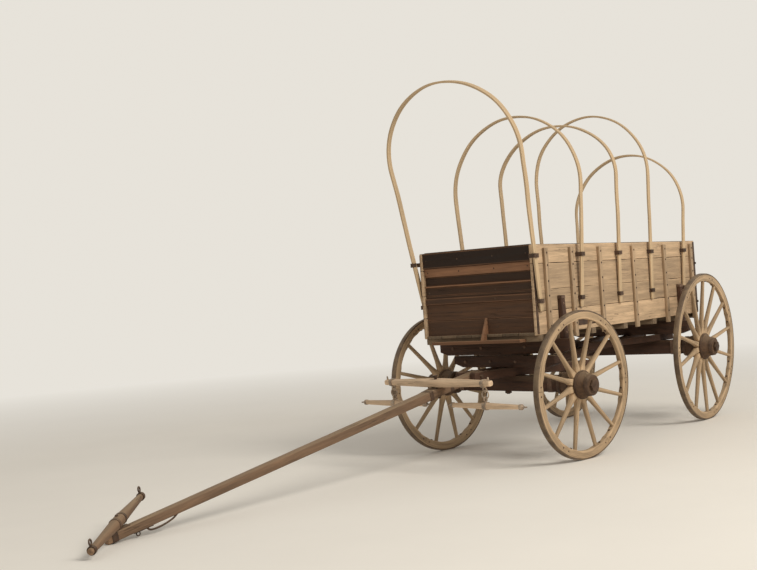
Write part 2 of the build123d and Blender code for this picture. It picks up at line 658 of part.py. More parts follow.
def front_gear():
    """Front axle, arms, sand board, hounds and sway bar, all turned on the king bolt."""
    hole = KING_RADIUS + KING_CLEARANCE
    axle("front_axle", GEAR, FRONT_HUB_Z, AXLE_TOP, AXLE_HEIGHT, hole)
    arms("front_arms", GEAR, FRONT_HUB_Z)
    cross_beam("sand_board", GEAR, STAKE_PLACE - 14.0, HOUND_TOP, SAND_BOARD_TOP, 30.0, hole)

    with BuildPart() as lower_plate:
        with BuildSketch(level(GEAR, SAND_BOARD_TOP)):
            Rectangle(TIMBER - RUB_PLATE, RUB_PLATE_SPAN)
            Circle(hole, mode=Mode.SUBTRACT)
        extrude(amount=RUB_PLATE)
    save(lower_plate, "rub_plate_lower")

    # The hounds spread from the tongue's jaws to the sway bar, over the axle
    jaw = TONGUE_ROOT[0] / 2 + JAW_PLAY
    nose = TONGUE_PIVOT + 70.0
    inner = [(-HOUND_TAIL, HOUND_SPREAD), (0, 82.0), (300.0, jaw), (nose, jaw)]
    outer = [(x, y + HOUND) for x, y in reversed(inner)]
    bar_half = HOUND_SPREAD + HOUND
    bar_bottom = AXLE_TOP - SWAY_BAR[1] / 2
    with BuildPart() as sway_bar:
        with BuildSketch(level(GEAR, bar_bottom, -SWAY_BAR_BACK)):
            Rectangle(SWAY_BAR[0], 2 * bar_half)
        extrude(amount=SWAY_BAR[1])
    save(sway_bar, "sway_bar")

    with BuildPart() as hounds:
        for side in (1, -1):
            with BuildSketch(level(GEAR, AXLE_TOP)):
                Polygon(*[(x, side * y) for x, y in inner + outer], align=None)
            extrude(amount=HOUND_TOP - AXLE_TOP)
        add(sway_bar.part, mode=Mode.SUBTRACT)
        with BuildSketch(side_view(GEAR)):
            with Locations((TONGUE_PIVOT, TONGUE_PIVOT_Z)):
                Circle(KING_RADIUS)
        extrude(amount=jaw + HOUND, both=True, mode=Mode.SUBTRACT)
    save(hounds, "front_hounds")

    head = 18.0
    with BuildPart() as pin:
        with BuildSketch(side_view(GEAR)):
            with Locations((TONGUE_PIVOT, TONGUE_PIVOT_Z)):
                Circle(KING_RADIUS)
        extrude(amount=jaw + HOUND + head, both=True)
    save(pin, "tongue_pin")


def king_parts():
    """Front bolster, stakes, upper rub plate and the king bolt through the whole stack."""
    cross_beam("front_bolster", ROOT, STAKE_PLACE + 62.0, BOLSTER_BOTTOM, BOX_BOTTOM, 26.0,
               KING_RADIUS)
    stakes()
    gap = 3.0
    end = 6.0
    nut_radius = 26.0
    nut_bottom = AXLE_TOP - AXLE_HEIGHT - gap - KING_NUT
    with BuildPart() as king_bolt:
        with BuildSketch(level(ROOT, nut_bottom - end)):
            Circle(KING_RADIUS)
        extrude(amount=BOX_BOTTOM - nut_bottom + end)
        with BuildSketch(level(ROOT, nut_bottom)):
            RegularPolygon(nut_radius, 6)
        extrude(amount=KING_NUT)
        with BuildSketch(level(ROOT, BOLSTER_BOTTOM - RUB_PLATE)):
            Rectangle(TIMBER - RUB_PLATE, RUB_PLATE_SPAN)
        extrude(amount=RUB_PLATE)
    save(king_bolt, "king_bolt")


def tongue_parts():
    """The tongue, and the hammer-headed pin with its plate that the doubletree turns on."""
    top = TONGUE_ROOT[1] / 2
    with BuildPart() as pole:
        add(planed(TONGUE, TONGUE_BAR))
        with BuildSketch(side_view(TONGUE)):
            Circle(KING_RADIUS + PIN_PLAY)
        extrude(amount=TONGUE_ROOT[0], both=True, mode=Mode.SUBTRACT)
        with BuildSketch(level(TONGUE, -TONGUE_ROOT[1], DOUBLETREE_AHEAD)):
            Circle(PIN)
        extrude(amount=2 * TONGUE_ROOT[1], mode=Mode.SUBTRACT)
    save(pole, "tongue")

    below = 20.0
    head = 14.0
    over = 30.0
    plate_length = 130.0
    pin_top = top + DOUBLETREE_GAP + DOUBLETREE_BAR[0][2] + over
    with BuildPart() as hammer:
        with BuildSketch(level(TONGUE, -top - below, DOUBLETREE_AHEAD)):
            Circle(PIN)
        extrude(amount=top + below + pin_top)
        with BuildSketch(level(TONGUE, pin_top - head, DOUBLETREE_AHEAD)):
            RegularPolygon(PIN + 8.0, 8)
        extrude(amount=head)
        with BuildSketch(level(TONGUE, top, DOUBLETREE_AHEAD)):
            Rectangle(plate_length, TONGUE_ROOT[0] - 14.0)
        extrude(amount=PIN_PLATE)
    save(hammer, "doubletree_pin")


def strap(frame, width, depth, thick, length, place=0.0):
    """A flat iron band round a bar that runs along a frame's x."""
    with BuildPart(mode=Mode.PRIVATE) as band:
        with BuildSketch(front_view(frame, place)):
            Rectangle(width + 2 * thick + BAND_PLAY, depth + 2 * thick + BAND_PLAY)
            Rectangle(width + BAND_PLAY, depth + BAND_PLAY, mode=Mode.SUBTRACT)
        extrude(amount=length / 2, both=True)
    return band.part


def ring(plane, radius, round_hole):
    """A forged ring about the plane's origin, twelve-sided outside."""
    sides = 12
    with BuildPart(mode=Mode.PRIVATE) as hoop:
        with BuildSketch(plane):
            RegularPolygon(radius + ROD / 2, sides)
            if round_hole:
                Circle(radius - ROD / 2, mode=Mode.SUBTRACT)
            else:
                RegularPolygon(radius - ROD / 2, sides, mode=Mode.SUBTRACT)
        extrude(amount=ROD / 2, both=True)
    return hoop.part


def doubletree_parts():
    """The doubletree on its pin, its hook eyes, and the two singletrees under them."""
    depth = DOUBLETREE_BAR[0][2]
    middle = TONGUE_ROOT[1] / 2 + DOUBLETREE_GAP + depth / 2
    frame = crosswise(TONGUE, DOUBLETREE_AHEAD, middle)
    with BuildPart() as evener:
        add(planed(frame, both_ways(DOUBLETREE_BAR)))
        with BuildSketch(frame.offset(-depth)):
            Circle(PIN + PIN_PLAY)
        extrude(amount=2 * depth, mode=Mode.SUBTRACT)
    save(evener, "doubletree")

    length = 30.0
    width, depth = size_at(DOUBLETREE_BAR, HOOK_SPREAD - length / 2)
    drop = depth / 2 + BAND + EYE + ROD / 2 - SUNK
    with BuildPart() as hooks:
        for side in (1, -1):
            eye = frame.from_local_coords(Vector(side * HOOK_SPREAD, 0, -drop))
            add(strap(frame, width, depth, BAND, length, side * HOOK_SPREAD))
            add(ring(Plane(origin=eye, x_dir=frame.z_dir, z_dir=frame.x_dir), EYE, True))
    save(hooks, "doubletree_hooks")
    for name, side in (("left", 1), ("right", -1)):
        hang(name, frame.from_local_coords(Vector(side * HOOK_SPREAD, 0, -drop)))


def hang(name, eye):
    """The ring and the singletree that swing on one hook eye of the doubletree."""
    up = GEAR.z_dir
    width, depth = SINGLETREE_BAR[0][1:3]
    tip_width, tip_depth = SINGLETREE_BAR[-1][1:3]
    reach = SINGLETREE_BAR[-1][0]
    ring_middle = eye - up * (RING_SLACK + RING)
    low_eye = ring_middle - up * (RING + RING_SLACK)
    middle = low_eye - up * (EYE + ROD / 2 - SUNK + BAND + depth / 2)
    frame = Plane(origin=middle, x_dir=GEAR.y_dir, z_dir=up)
    with BuildPart() as singletree:
        add(planed(frame, both_ways(SINGLETREE_BAR)))
    save(singletree, f"singletree_{name}")

    cap_wall = 4.0
    cap_thick = 6.0
    ear = TRACE_EYE + TRACE_EYE_WALL
    with BuildPart() as irons:
        add(strap(frame, width, depth, BAND, 34.0))
        add(ring(Plane(origin=low_eye, x_dir=up, z_dir=GEAR.y_dir), EYE, False))
        add(ring(Plane(origin=ring_middle, x_dir=up, z_dir=GEAR.x_dir), RING, False))
        for s in (1, -1):
            with BuildSketch(front_view(frame, s * reach)):
                Rectangle(tip_width + 2 * cap_wall, tip_depth + 2 * cap_wall)
            extrude(amount=s * cap_thick)
            with BuildSketch(frame):
                with Locations((s * (reach + TRACE_EYE_OUT), 0)):
                    RegularPolygon(ear, 12)
                with Locations((s * (reach + TRACE_EYE_OUT / 2), 0)):
                    Rectangle(TRACE_EYE_OUT, 2 * ear)
                with Locations((s * (reach + TRACE_EYE_OUT), 0)):
                    Circle(TRACE_EYE, mode=Mode.SUBTRACT)
            extrude(amount=TRACE_EYE_THICK / 2, both=True)
    save(irons, f"singletree_irons_{name}")


def neck_yoke():
    """The tapered yoke that lies over the tongue's tip, turned on an upright pin."""
    place = TONGUE_LENGTH - NECK_YOKE_BACK
    plate_length = 120.0
    tongue_width, tongue_depth = size_at(TONGUE_BAR, place - plate_length / 2)
    thick = NECK_YOKE_BAR[0][2]
    aside = radians(NECK_YOKE_TURN)
    direction = TONGUE.x_dir * cos(aside) + TONGUE.y_dir * sin(aside)
    post = TONGUE.from_local_coords(Vector(place, 0, tongue_depth / 2))
    centre = post + TONGUE.z_dir * (NECK_YOKE_GAP + thick / 2)
    frame = Plane(origin=centre, x_dir=direction, z_dir=TONGUE.z_dir)
    with BuildPart() as yoke:
        add(planed(frame, both_ways(NECK_YOKE_BAR)))
        with BuildSketch(frame.offset(-thick)):
            Circle(YOKE_PIN + PIN_PLAY)
        extrude(amount=2 * thick, mode=Mode.SUBTRACT)
    save(yoke, "neck_yoke")

    ring_inset = 30.0
    length = 26.0
    end = NECK_YOKE_BAR[-1][0] - ring_inset
    width, depth = size_at(NECK_YOKE_BAR, end - length / 2)
    with BuildPart() as irons:
        for s in (1, -1):
            add(strap(frame, width, depth, BAND, length, s * end))
            over = (depth + BAND_PLAY) / 2 + BAND - SUNK + EYE + ROD / 2
            eye = frame.from_local_coords(Vector(s * end, 0, over))
            add(ring(Plane(origin=eye, x_dir=frame.x_dir, z_dir=frame.y_dir), EYE, True))
    save(irons, "neck_yoke_irons")

    over = 9.0
    with BuildPart() as pin:
        with BuildSketch(Plane(origin=post, x_dir=TONGUE.x_dir, z_dir=TONGUE.z_dir)):
            Circle(YOKE_PIN)
        extrude(amount=NECK_YOKE_GAP + thick + over)
        with BuildSketch(Plane(origin=post, x_dir=TONGUE.x_dir, z_dir=TONGUE.z_dir)):
            Rectangle(plate_length, tongue_width - 16.0)
        extrude(amount=YOKE_PLATE)
    save(pin, "yoke_pin")


box_floor()
box_sides()
front_boards()
tail_gate()
for number, row in enumerate(BOWS, 1):
    bow(f"bow_{number}", *row)
bow_staples()
king_parts()
rear_gear()
front_gear()
tongue_parts()
doubletree_parts()
neck_yoke()
for row in WHEELS:
    wheel(*row)
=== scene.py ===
"""Looks of a covered wagon with its cover off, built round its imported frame. Metres."""

import json
from math import acos, atan2, cos, pi, radians, sin, sqrt, tan

import bpy
import numpy as np
from bpy.props import FloatProperty, FloatVectorProperty, PointerProperty
from mathutils import Matrix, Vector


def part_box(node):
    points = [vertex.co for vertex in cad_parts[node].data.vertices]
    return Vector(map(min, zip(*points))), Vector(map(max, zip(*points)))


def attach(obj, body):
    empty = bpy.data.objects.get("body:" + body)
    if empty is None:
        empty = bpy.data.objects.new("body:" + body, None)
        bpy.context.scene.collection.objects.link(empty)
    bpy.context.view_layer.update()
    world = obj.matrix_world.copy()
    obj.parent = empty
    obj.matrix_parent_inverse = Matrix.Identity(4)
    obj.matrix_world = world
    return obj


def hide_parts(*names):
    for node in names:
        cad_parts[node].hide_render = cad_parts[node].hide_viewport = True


bl_info = {
    "name": "Covered Wagon",
    "version": (1, 0, 0),
    "blender": (4, 5, 0),
    "location": "3D Viewport > Sidebar > Wagon",
    "description": "Bent bows, dished wheels, planks, forged irons and worn wood for a wagon",
    "category": "Object",
}

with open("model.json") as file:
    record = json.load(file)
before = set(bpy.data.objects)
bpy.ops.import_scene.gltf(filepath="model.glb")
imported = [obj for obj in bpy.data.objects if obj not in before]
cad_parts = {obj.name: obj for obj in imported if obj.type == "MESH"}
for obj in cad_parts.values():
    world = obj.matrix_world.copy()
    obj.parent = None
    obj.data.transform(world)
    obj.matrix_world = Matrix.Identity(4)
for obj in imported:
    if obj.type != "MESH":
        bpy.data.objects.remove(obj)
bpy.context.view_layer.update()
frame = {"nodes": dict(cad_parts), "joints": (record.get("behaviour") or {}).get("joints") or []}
JOINTS = {joint["name"]: joint for joint in frame["joints"]}
X, Y, Z = range(3)

# Sizes that the new pieces share with the frame
WHEELBASE = 2.240
HALF_AXLE = 0.0465         # along the wagon, also of the bolsters and the sand board
HOUND_TOP = 0.692
REACH_Z = 0.7545
WHEELS = {
    # radius, spokes, radius of the hub's middle
    "front": (0.559, 12, 0.104),
    "rear": (0.660, 14, 0.114),
}
DIP = radians(2.0)         # how far the axle arms slope down outwards
DISH = 0.035               # how much further out a spoke's tip is than its foot
TYRE_THICK = 0.012
HALF_TYRE = 0.022
FELLOE_DEPTH = 0.056
HALF_FELLOE = 0.021

BOX_FRONT = 0.372
BOX_REAR = -2.678
HALF_BOX = 0.511
CLEATS = (0.190, -0.215, -0.700, -1.320, -1.960, -2.558)
CLEAT_OUT = 0.024          # from a side's face to a cleat's
BOARD_THICK = 0.022
FRONT_FACE = 0.348
FRONT_SPLIT = 1.290
# The darker tones of the recessed board (1.371 to 1.439) and of the narrow proud board (1.220 to
# 1.270) are partly painted shade over their own dark wood.
FRONT_STEPS = [
    # bottom, top, how far the board's face stands ahead, how much paler it is
    (0.971, 1.092, 0.0, -0.25),
    (1.094, 1.219, 0.0, -0.10),
    (1.220, 1.270, 0.014, -0.35),
    (1.271, 1.357, 0.0, -0.50),
    (1.358, 1.370, 0.012, 1.60),
    (1.371, 1.439, -0.006, -0.65),
    (1.440, 1.509, 0.004, 1.50),
    (1.510, 1.630, 0.018, -0.80),
]

BOW_MARK_Z = 1.200
BOW_FOOT_Z = 1.130
BOW_FOOT_HALF = 0.524
BOW_HELD_Z = 1.620         # below this the staples hold a bow to its line
BOW_FREE_OVER = 0.350
BOWS = [
    # along, half width, height where the arch springs, rise, degrees of lean forward
    (0.318, 0.595, 2.306, 0.599, 12.2),
    (-0.334, 0.592, 2.149, 0.553, 0.0),
    (-1.024, 0.566, 2.208, 0.465, 0.0),
    (-1.654, 0.560, 2.228, 0.572, 0.0),
    (-2.346, 0.551, 1.894, 0.597, -3.4),
]
STAPLE_HEIGHTS = (1.205, 1.545)
STAPLE_HALF = 0.016
STAPLE_THICK = 0.0065      # with its play

# How finely and how softly the new pieces are made
SHARP = radians(35)
CORNER_STEPS = 3
BOW_STATIONS = 150
ARC_POINTS = 40
SPOKE_STATIONS = 30
FELLOE_STATIONS = 33
TYRE_SIDES = 160
ROD_SIDES = 12
PLANK_STEP = 0.12
SOFT_IRON = 0.0015
BAR_END = 0.004
HEAD_SUNK = 0.001
PLATE = {"edge": 0.001, "wobble": 0.0003}
RUB_IRON = {"edge": 0.0008, "wobble": 0.0004}
LAP_END = 0.004
LAP_SHARE = 0.3            # of a wall's thickness, left free on each face
LAP_HALF = 0.006
LAP_TONE = -0.85

FLOOR_BOARDS = 7
GATE_TONES = (0.05, -0.15, 0.0)    # how much paler each board is, from the lowest up

# The stage; the camera's values are fitted to the photograph
GROUND_HALF = 60.0
GROUND_CELLS = 8
GROUND_DROP = 0.0005
FADE_FROM, FADE_TO = 4.5, 13.0
LAMP_SPOT = np.array((0.8, 11.8, 10.4))
LAMP_TARGET = np.array((-0.5, 0.0, 1.0))
LAMP_WIDTH = 7.0
CAMERA_SPOT = (7.493595, 4.974963, 1.367)
CAMERA_YAW, CAMERA_PITCH, CAMERA_ROLL = radians(217.48), radians(0.264), radians(-3.937)


def unit(vector):
    """A vector scaled to length one."""
    vector = np.asarray(vector, float)
    return vector / np.linalg.norm(vector, axis=-1, keepdims=True)


def together(*parts):
    """Arrays broadcast to one shape, as the columns of a new last axis."""
    return np.stack(np.broadcast_arrays(*parts), -1)


def circle(sides, start=0.0):
    """The angles of equal steps round a circle."""
    return (np.arange(sides) + start) * 2 * pi / sides


def smooth(value):
    """A share that starts and ends gently: 3 v^2 - 2 v^3."""
    value = np.clip(value, 0, 1)
    return value * value * (3 - 2 * value)


class Axes:
    """An origin and three unit directions; at() turns local distances into points."""

    def __init__(self, origin, x, z):
        self.origin = np.asarray(origin, float)
        self.x = unit(x)
        self.y = unit(np.cross(z, x))
        self.z = np.cross(self.x, self.y)

    def at(self, x, y, z):
        """Points at local distances, which may be arrays that broadcast together."""
        x, y, z = (np.asarray(value, float)[..., None] for value in (x, y, z))
        return self.origin + x * self.x + y * self.y + z * self.z

    def polar(self, radius, angle, z=0.0):
        """Points at a radius and an angle round z."""
        return self.at(radius * np.cos(angle), radius * np.sin(angle), z)

    def shifted(self, x=0.0, y=0.0, z=0.0):
        """The same directions from another origin."""
        return Axes(self.at(x, y, z), self.x, self.z)


def place(name):
    """Where a joint is."""
    return np.array(JOINTS[name]["pos_m"])


def way(name):
    """Which way a joint's axis points."""
    return np.array(JOINTS[name]["axis"], float)


UP = np.array((0.0, 0.0, 1.0))
KING = place("king_turn") * (1, 1, 0)
ROOT = Axes(KING, (1, 0, 0), UP)
REAR = ROOT.shifted(-WHEELBASE)
GEAR = Axes(KING, np.cross(-way("tongue_lift"), UP), UP)
TONGUE = Axes(place("tongue_lift"), np.cross(-way("tongue_lift"), way("doubletree_swing")),
              way("doubletree_swing"))
EVENER_AHEAD = 0.385               # along the pole from its lift pin
EVENER_MIDDLE = 0.066              # above the pole's middle line
EVENER = Axes(TONGUE.at(EVENER_AHEAD, 0, EVENER_MIDDLE), GEAR.y, TONGUE.z)
HOOK_OUT = 0.470                   # along the doubletree from its middle
EYE_DROP = 0.118                   # from a singletree's joint down to its middle line
YOKE_TURN = radians(40.0)          # between the yoke and the pole
YOKE_AHEAD = 3.185
YOKE_ABOVE = 0.02917 + 0.043       # the pole's half depth there, then up to the yoke's middle


class Shape:
    """The points, faces, grain coordinates and edge wear of one piece, joined as it grows."""

    def __init__(self):
        self.points, self.grain, self.wear, self.tones, self.faces = [], [], [], [], []
        self.tone = 0.0
        self.count = 0

    def tube(self, points, grain=None, wear=0.0, loop=False):
        """A section of N points carried along S stations, closed by fans or into a loop.

        The faces are turned so that the signed volume, a sum of a . (b x c), is positive.
        """
        stations, sides = points.shape[:2]
        flat = points.reshape(-1, 3)
        grain = (points if grain is None else grain).reshape(-1, 3)
        wear = np.broadcast_to(wear, (stations, sides)).reshape(-1)
        row = np.arange(stations if loop else stations - 1)[:, None] * sides
        after = (row + sides) % (stations * sides)
        side = np.arange(sides)
        beside = (side + 1) % sides
        faces = [np.stack((row + side, row + beside, after + beside, after + side),
                          -1).reshape(-1, 4)]
        if not loop:
            end = (stations - 1) * sides
            first = np.full(sides, len(flat))
            faces += [np.stack((first, beside, side), -1),
                      np.stack((first + 1, end + side, end + beside), -1)]
            flat, grain = (np.vstack((rows, rows[:sides].mean(0), rows[end:].mean(0)))
                           for rows in (flat, grain))
            wear = np.append(wear, [0.0, 0.0])
        volume = sum(np.einsum("ij,ij->", ring[:, 0], np.cross(ring[:, i], ring[:, i + 1]))
                     for ring in (flat[face] for face in faces)
                     for i in range(1, ring.shape[1] - 1))
        for face in faces:
            self.faces += ((face if volume >= 0 else face[:, ::-1]) + self.count).tolist()
        self.points.append(flat)
        self.grain.append(grain)
        self.wear.append(wear)
        self.tones.append(np.full(len(flat), self.tone))
        self.count += len(flat)

    def made(self, name, body, material=None, nodes=(), slot="wrought_iron"):
        """The piece as a mesh object that rides on a body and stands for its frame nodes."""
        mesh = bpy.data.meshes.new(name)
        mesh.from_pydata(np.vstack(self.points).tolist(), [], self.faces)
        grain = mesh.attributes.new("grain", "FLOAT_VECTOR", "POINT")
        grain.data.foreach_set("vector", np.vstack(self.grain).astype(np.float32).ravel())
        for key, values in (("wear", self.wear), ("tone", self.tones)):
            shade = mesh.attributes.new(key, "FLOAT", "POINT")
            shade.data.foreach_set("value", np.concatenate(values).astype(np.float32))
        mesh.polygons.foreach_set("use_smooth", np.ones(len(self.faces), bool))
        mesh.set_sharp_from_angle(angle=SHARP)
        mesh.materials.append(material or iron("forged_iron", colours().iron))
        piece = bpy.data.objects.new(name, mesh)
        bpy.context.scene.collection.objects.link(piece)
        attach(piece, body)
        if nodes:
            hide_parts(*nodes)


def superellipse(half_width, half_depth, power, sides):
    """Two arrays (S, N): |x/a|^p + |y/b|^p = 1, walked round by angle."""
    c, s = np.cos(circle(sides, 0.5)), np.sin(circle(sides, 0.5))
    half_width, half_depth, power = (np.atleast_1d(v)[:, None]
                                     for v in (half_width, half_depth, power))
    return (half_width * np.sign(c) * np.abs(c) ** (2 / power),
            half_depth * np.sign(s) * np.abs(s) ** (2 / power))


def rounded(half_width, half_depth, corner, inside):
    """A rectangle with quarter-circle corners and a point on each flat beside them.

    Returns x, y and edge wear; corner may differ at the four corners or along the stations.
    """
    xs, ys = [], []
    quarter = np.linspace(0, pi / 2, CORNER_STEPS + 1)
    for i, (sx, sy) in enumerate(((1, 1), (-1, 1), (-1, -1), (1, -1))):
        radius = corner[i] if isinstance(corner, list) else corner
        x = sx * (half_width - radius) + radius * np.cos(quarter + i * pi / 2)
        y = sy * (half_depth - radius) + radius * np.sin(quarter + i * pi / 2)
        flat_x = sx * (half_width - radius - inside) + 0 * x[..., :1]
        flat_y = sy * (half_depth - radius - inside) + 0 * y[..., :1]
        if i % 2:
            xs += [flat_x, x, x[..., -1:]]
            ys += [y[..., :1], y, flat_y]
        else:
            xs += [x[..., :1], x, flat_x]
            ys += [flat_y, y, y[..., -1:]]
    wear = ([0.0] + [1.0] * (CORNER_STEPS + 1) + [0.0]) * 4
    return np.concatenate(xs, -1), np.concatenate(ys, -1), np.array(wear)


def ripple(along, seed, size, reach=1.0):
    """A slow uneven line: three sine waves of random phase and falling height."""
    draw = np.random.default_rng(seed)
    total = np.zeros_like(along)
    for wave, height in ((1.0, 0.5), (2.3, 0.32), (5.1, 0.18)):
        total += height * np.sin(along * wave * 2 * pi / reach + draw.uniform(0, 2 * pi))
    return size * total


def plank(shape, low, high, along, seed, edge, wobble):
    """A sawn board between two corners: rounded worn edges, uneven sides, eased ends.

    Each station is a rounded rectangle whose width and middle wander by slow sine waves.
    """
    low, high = np.asarray(low, float), np.asarray(high, float)
    size, middle = high - low, (low + high) / 2
    wide, thin = sorted((a for a in range(3) if a != along), key=lambda a: -size[a])
    length = size[along]
    ends = np.array((0, 1, 3)) * edge
    inner = np.linspace(0, length, max(6, int(length / PLANK_STEP)))[1:-1]
    s = np.concatenate((ends, inner, length - ends[::-1]))[:, None]
    ease = np.where((s <= 0) | (s >= length), edge * 0.8, 0.0)
    x, y, wear = rounded(size[wide] / 2 - ease + ripple(s, seed, wobble) - wobble,
                         size[thin] / 2 - ease, min(edge, size[thin] * 0.2),
                         min(0.008, size[thin] * 0.25))
    local = np.zeros(x.shape + (3,))
    local[..., along] = low[along] + s
    local[..., wide] = middle[wide] + x + ripple(s, seed + 900, wobble)
    local[..., thin] = middle[thin] + y
    wear = np.broadcast_to(wear, x.shape).copy()
    wear[[0, 1, -2, -1]] = 1.0
    shape.tube(local, together(s + 3.7 * seed, x + 0.61 * seed, y), wear)


def lap(shape, low, high, height, seed):
    """A thin strip in the middle of a wall that closes the joint at a height to the light."""
    low, high = np.array(low, float), np.array(high, float)
    size = high - low
    along, across = (X, Y) if size[X] > size[Y] else (Y, X)
    inset = np.full(3, LAP_END)
    inset[across] = size[across] * LAP_SHARE
    low, high = low + inset, high - inset
    low[Z], high[Z] = height - LAP_HALF, height + LAP_HALF
    plank(shape, low, high, along, seed, edge=0.0005, wobble=0.0)


def sawn(shape, axes, outline, thick, seed):
    """A flat piece sawn to an outline in an axes' x and z, its thickness along y, edges eased."""
    outline, edge = np.array(outline, float), 0.0015
    middle = outline.mean(0)
    share = 1 - edge / np.linalg.norm(outline - middle, axis=1).mean()
    inner = middle + (outline - middle) * share
    x, z = np.moveaxis(np.stack((inner, outline, outline, inner)), -1, 0)
    y = np.array((-thick / 2, edge - thick / 2, thick / 2 - edge, thick / 2))[:, None]
    shape.tube(axes.at(x, y, z), together(x + 3.7 * seed, y, z), 0.8)


def mirrored(stations):
    """The stations of a bar's right half, and the same ones on its left."""
    return [(-x, *size) for x, *size in reversed(stations)] + stations


def bar(shape, axes, stations, seed, sides, wobble=0.0, steps=48):
    """A shaved bar along an axes' x: width, depth and roundness run between its stations.

    Width and depth are then averaged with their neighbours, and both ends are drawn in.
    """
    marks, *table = np.array(stations, float).T
    s = np.linspace(marks[0], marks[-1], steps)
    s = np.concatenate(([s[0], s[0] + BAR_END], s[1:-1], [s[-1] - BAR_END, s[-1]]))
    width, depth, power = (np.interp(s, marks, column) for column in table)
    for size in (width, depth):
        size[1:-1] = (size[:-2] + 2 * size[1:-1] + size[2:]) / 4
        size[[0, -1]] -= 2 * BAR_END
    y, z = superellipse(width / 2, depth / 2, power, sides)
    s = s[:, None]
    y = y * (1 + ripple(s, seed, wobble, 0.5))
    z = z * (1 + ripple(s, seed + 77, wobble, 0.4))
    wear = np.zeros(y.shape)
    wear[[0, 1, -2, -1]] = 1.0
    shape.tube(axes.at(s, y, z), together(s + 3.7 * seed, y, z), wear)


def turned(shape, axes, profile, sides=64, seed=0.0, rim=None):
    """A closed profile spun round an axes' z: each (z, r) goes to (r cos a, r sin a, z).

    The grain runs along z, or round the rim where the rim's radius is given.
    """
    z, r = np.array(profile, float).T[:, None]
    angle = circle(sides)[:, None]
    grain = together(z + seed, r * angle, r) if rim is None else together(rim * angle, z, r)
    shape.tube(axes.polar(r, angle, z), grain, loop=True)


def hoop(shape, axes, radius, thick, sides, seed):
    """A forged ring: R + h cos t out from an axes' z and h sin t along it, with h uneven."""
    angle, turn = circle(sides)[:, None], circle(12)
    half = thick / 2 * (1 + ripple(angle, seed, 0.06, 2 * pi))
    shape.tube(axes.polar(radius + half * np.cos(turn), angle, half * np.sin(turn)), loop=True)


def band(shape, axes, half_width, half_depth, power, length, thick):
    """A flat iron strap closed round a bar that runs along an axes' x.

    Its section is carried round a superellipse and set outwards square to it.
    """
    loop = np.hstack([side.T for side in superellipse(half_width, half_depth, power, 40)])
    ahead = unit(np.roll(loop, -1, 0) - np.roll(loop, 1, 0))
    soft, end = min(SOFT_IRON, thick / 3), length / 2
    along, out = np.array([(-end, 0), (-end, thick - soft), (-end + soft, thick),
                           (end - soft, thick), (end, thick - soft), (end, 0)]).T
    y = loop[:, :1] + ahead[:, 1:] * out
    z = loop[:, 1:] - ahead[:, :1] * out
    shape.tube(axes.at(along, y, z), loop=True)


def rod(shape, points, radius):
    """A round rod along a smooth line through some points, by Catmull-Rom interpolation.

    Its rings start from the cross product with a slanting direction that no rod runs along.
    """
    points = np.asarray(points, float)
    padded = np.vstack((2 * points[0] - points[1], points, 2 * points[-1] - points[-2]))
    t = np.linspace(0, 1, 9)[:-1, None, None]
    a, b, c, d = (padded[i:len(padded) - 3 + i][None] for i in range(4))
    line = 0.5 * (2 * b + (c - a) * t + (2 * a - 5 * b + 4 * c - d) * t ** 2
                  + (3 * b - a - 3 * c + d) * t ** 3)
    line = np.vstack((line.transpose(1, 0, 2).reshape(-1, 3), points[-1:]))
    ahead = unit(np.gradient(line, axis=0))
    side = unit(np.cross(ahead, (0.31, 0.17, 0.93)))
    over = np.cross(ahead, side)
    turn = circle(ROD_SIDES)[:, None]
    shape.tube(line[:, None] + radius * (np.cos(turn) * side[:, None]
                                         + np.sin(turn) * over[:, None]))


def heads(shape, places, outward, radius, height, sides=10):
    """Bolt or rivet heads: each a low dome of four rings, or a nut when it has few sides.

    A ring's radius and height are shares of the head's, and the first ring lies under the face.
    """
    places = np.atleast_2d(places)
    outward = unit(np.broadcast_to(outward, places.shape))
    guide = np.where(np.abs(outward[:, 2:]) < 0.9, UP, np.array((1.0, 0.0, 0.0)))
    side = unit(np.cross(guide, outward))
    over = np.cross(outward, side)
    domed = sides > 6
    rings = np.array((1.0, 1.0, 0.8, 0.4) if domed else (1.0, 1.0, 1.0, 0.86))
    lifts = np.array((0.0, 0.45, 0.84, 1.0) if domed else (0.0, 0.5, 0.88, 1.0))
    lifts = (lifts * (height + HEAD_SUNK) - HEAD_SUNK)[:, None, None]
    turn = circle(sides, 0.5)[:, None]
    for i in range(len(places)):
        ring = radius * rings[:, None, None] * (np.cos(turn) * side[i] + np.sin(turn) * over[i])
        shape.tube(places[i] + ring + lifts * outward[i])


class Nodes:
    """The node tree of a material or a world, with short ways to add and join its nodes."""

    def __init__(self, owner):
        owner.use_nodes = True
        self.tree = owner.node_tree
        self.tree.nodes.clear()

    def node(self, kind, inputs=None, **settings):
        """A new node, its inputs joined or set."""
        node = self.tree.nodes.new(kind)
        for key, value in settings.items():
            setattr(node, key, value)
        for key, value in (inputs or {}).items():
            self.put(node.inputs[key], value)
        return node

    def put(self, socket, value):
        """Join a socket to another node's output, or give it a constant."""
        if isinstance(value, bpy.types.NodeSocket):
            self.tree.links.new(value, socket)
        else:
            socket.default_value = value

    def maths(self, operation, first, second=0.0):
        """The result of an operation on two values."""
        return self.node("ShaderNodeMath", {0: first, 1: second}, operation=operation).outputs[0]

    def times(self, first, second):
        """One value times another."""
        return self.maths("MULTIPLY", first, second)

    def plus(self, first, second):
        """One value plus another."""
        return self.maths("ADD", first, second)


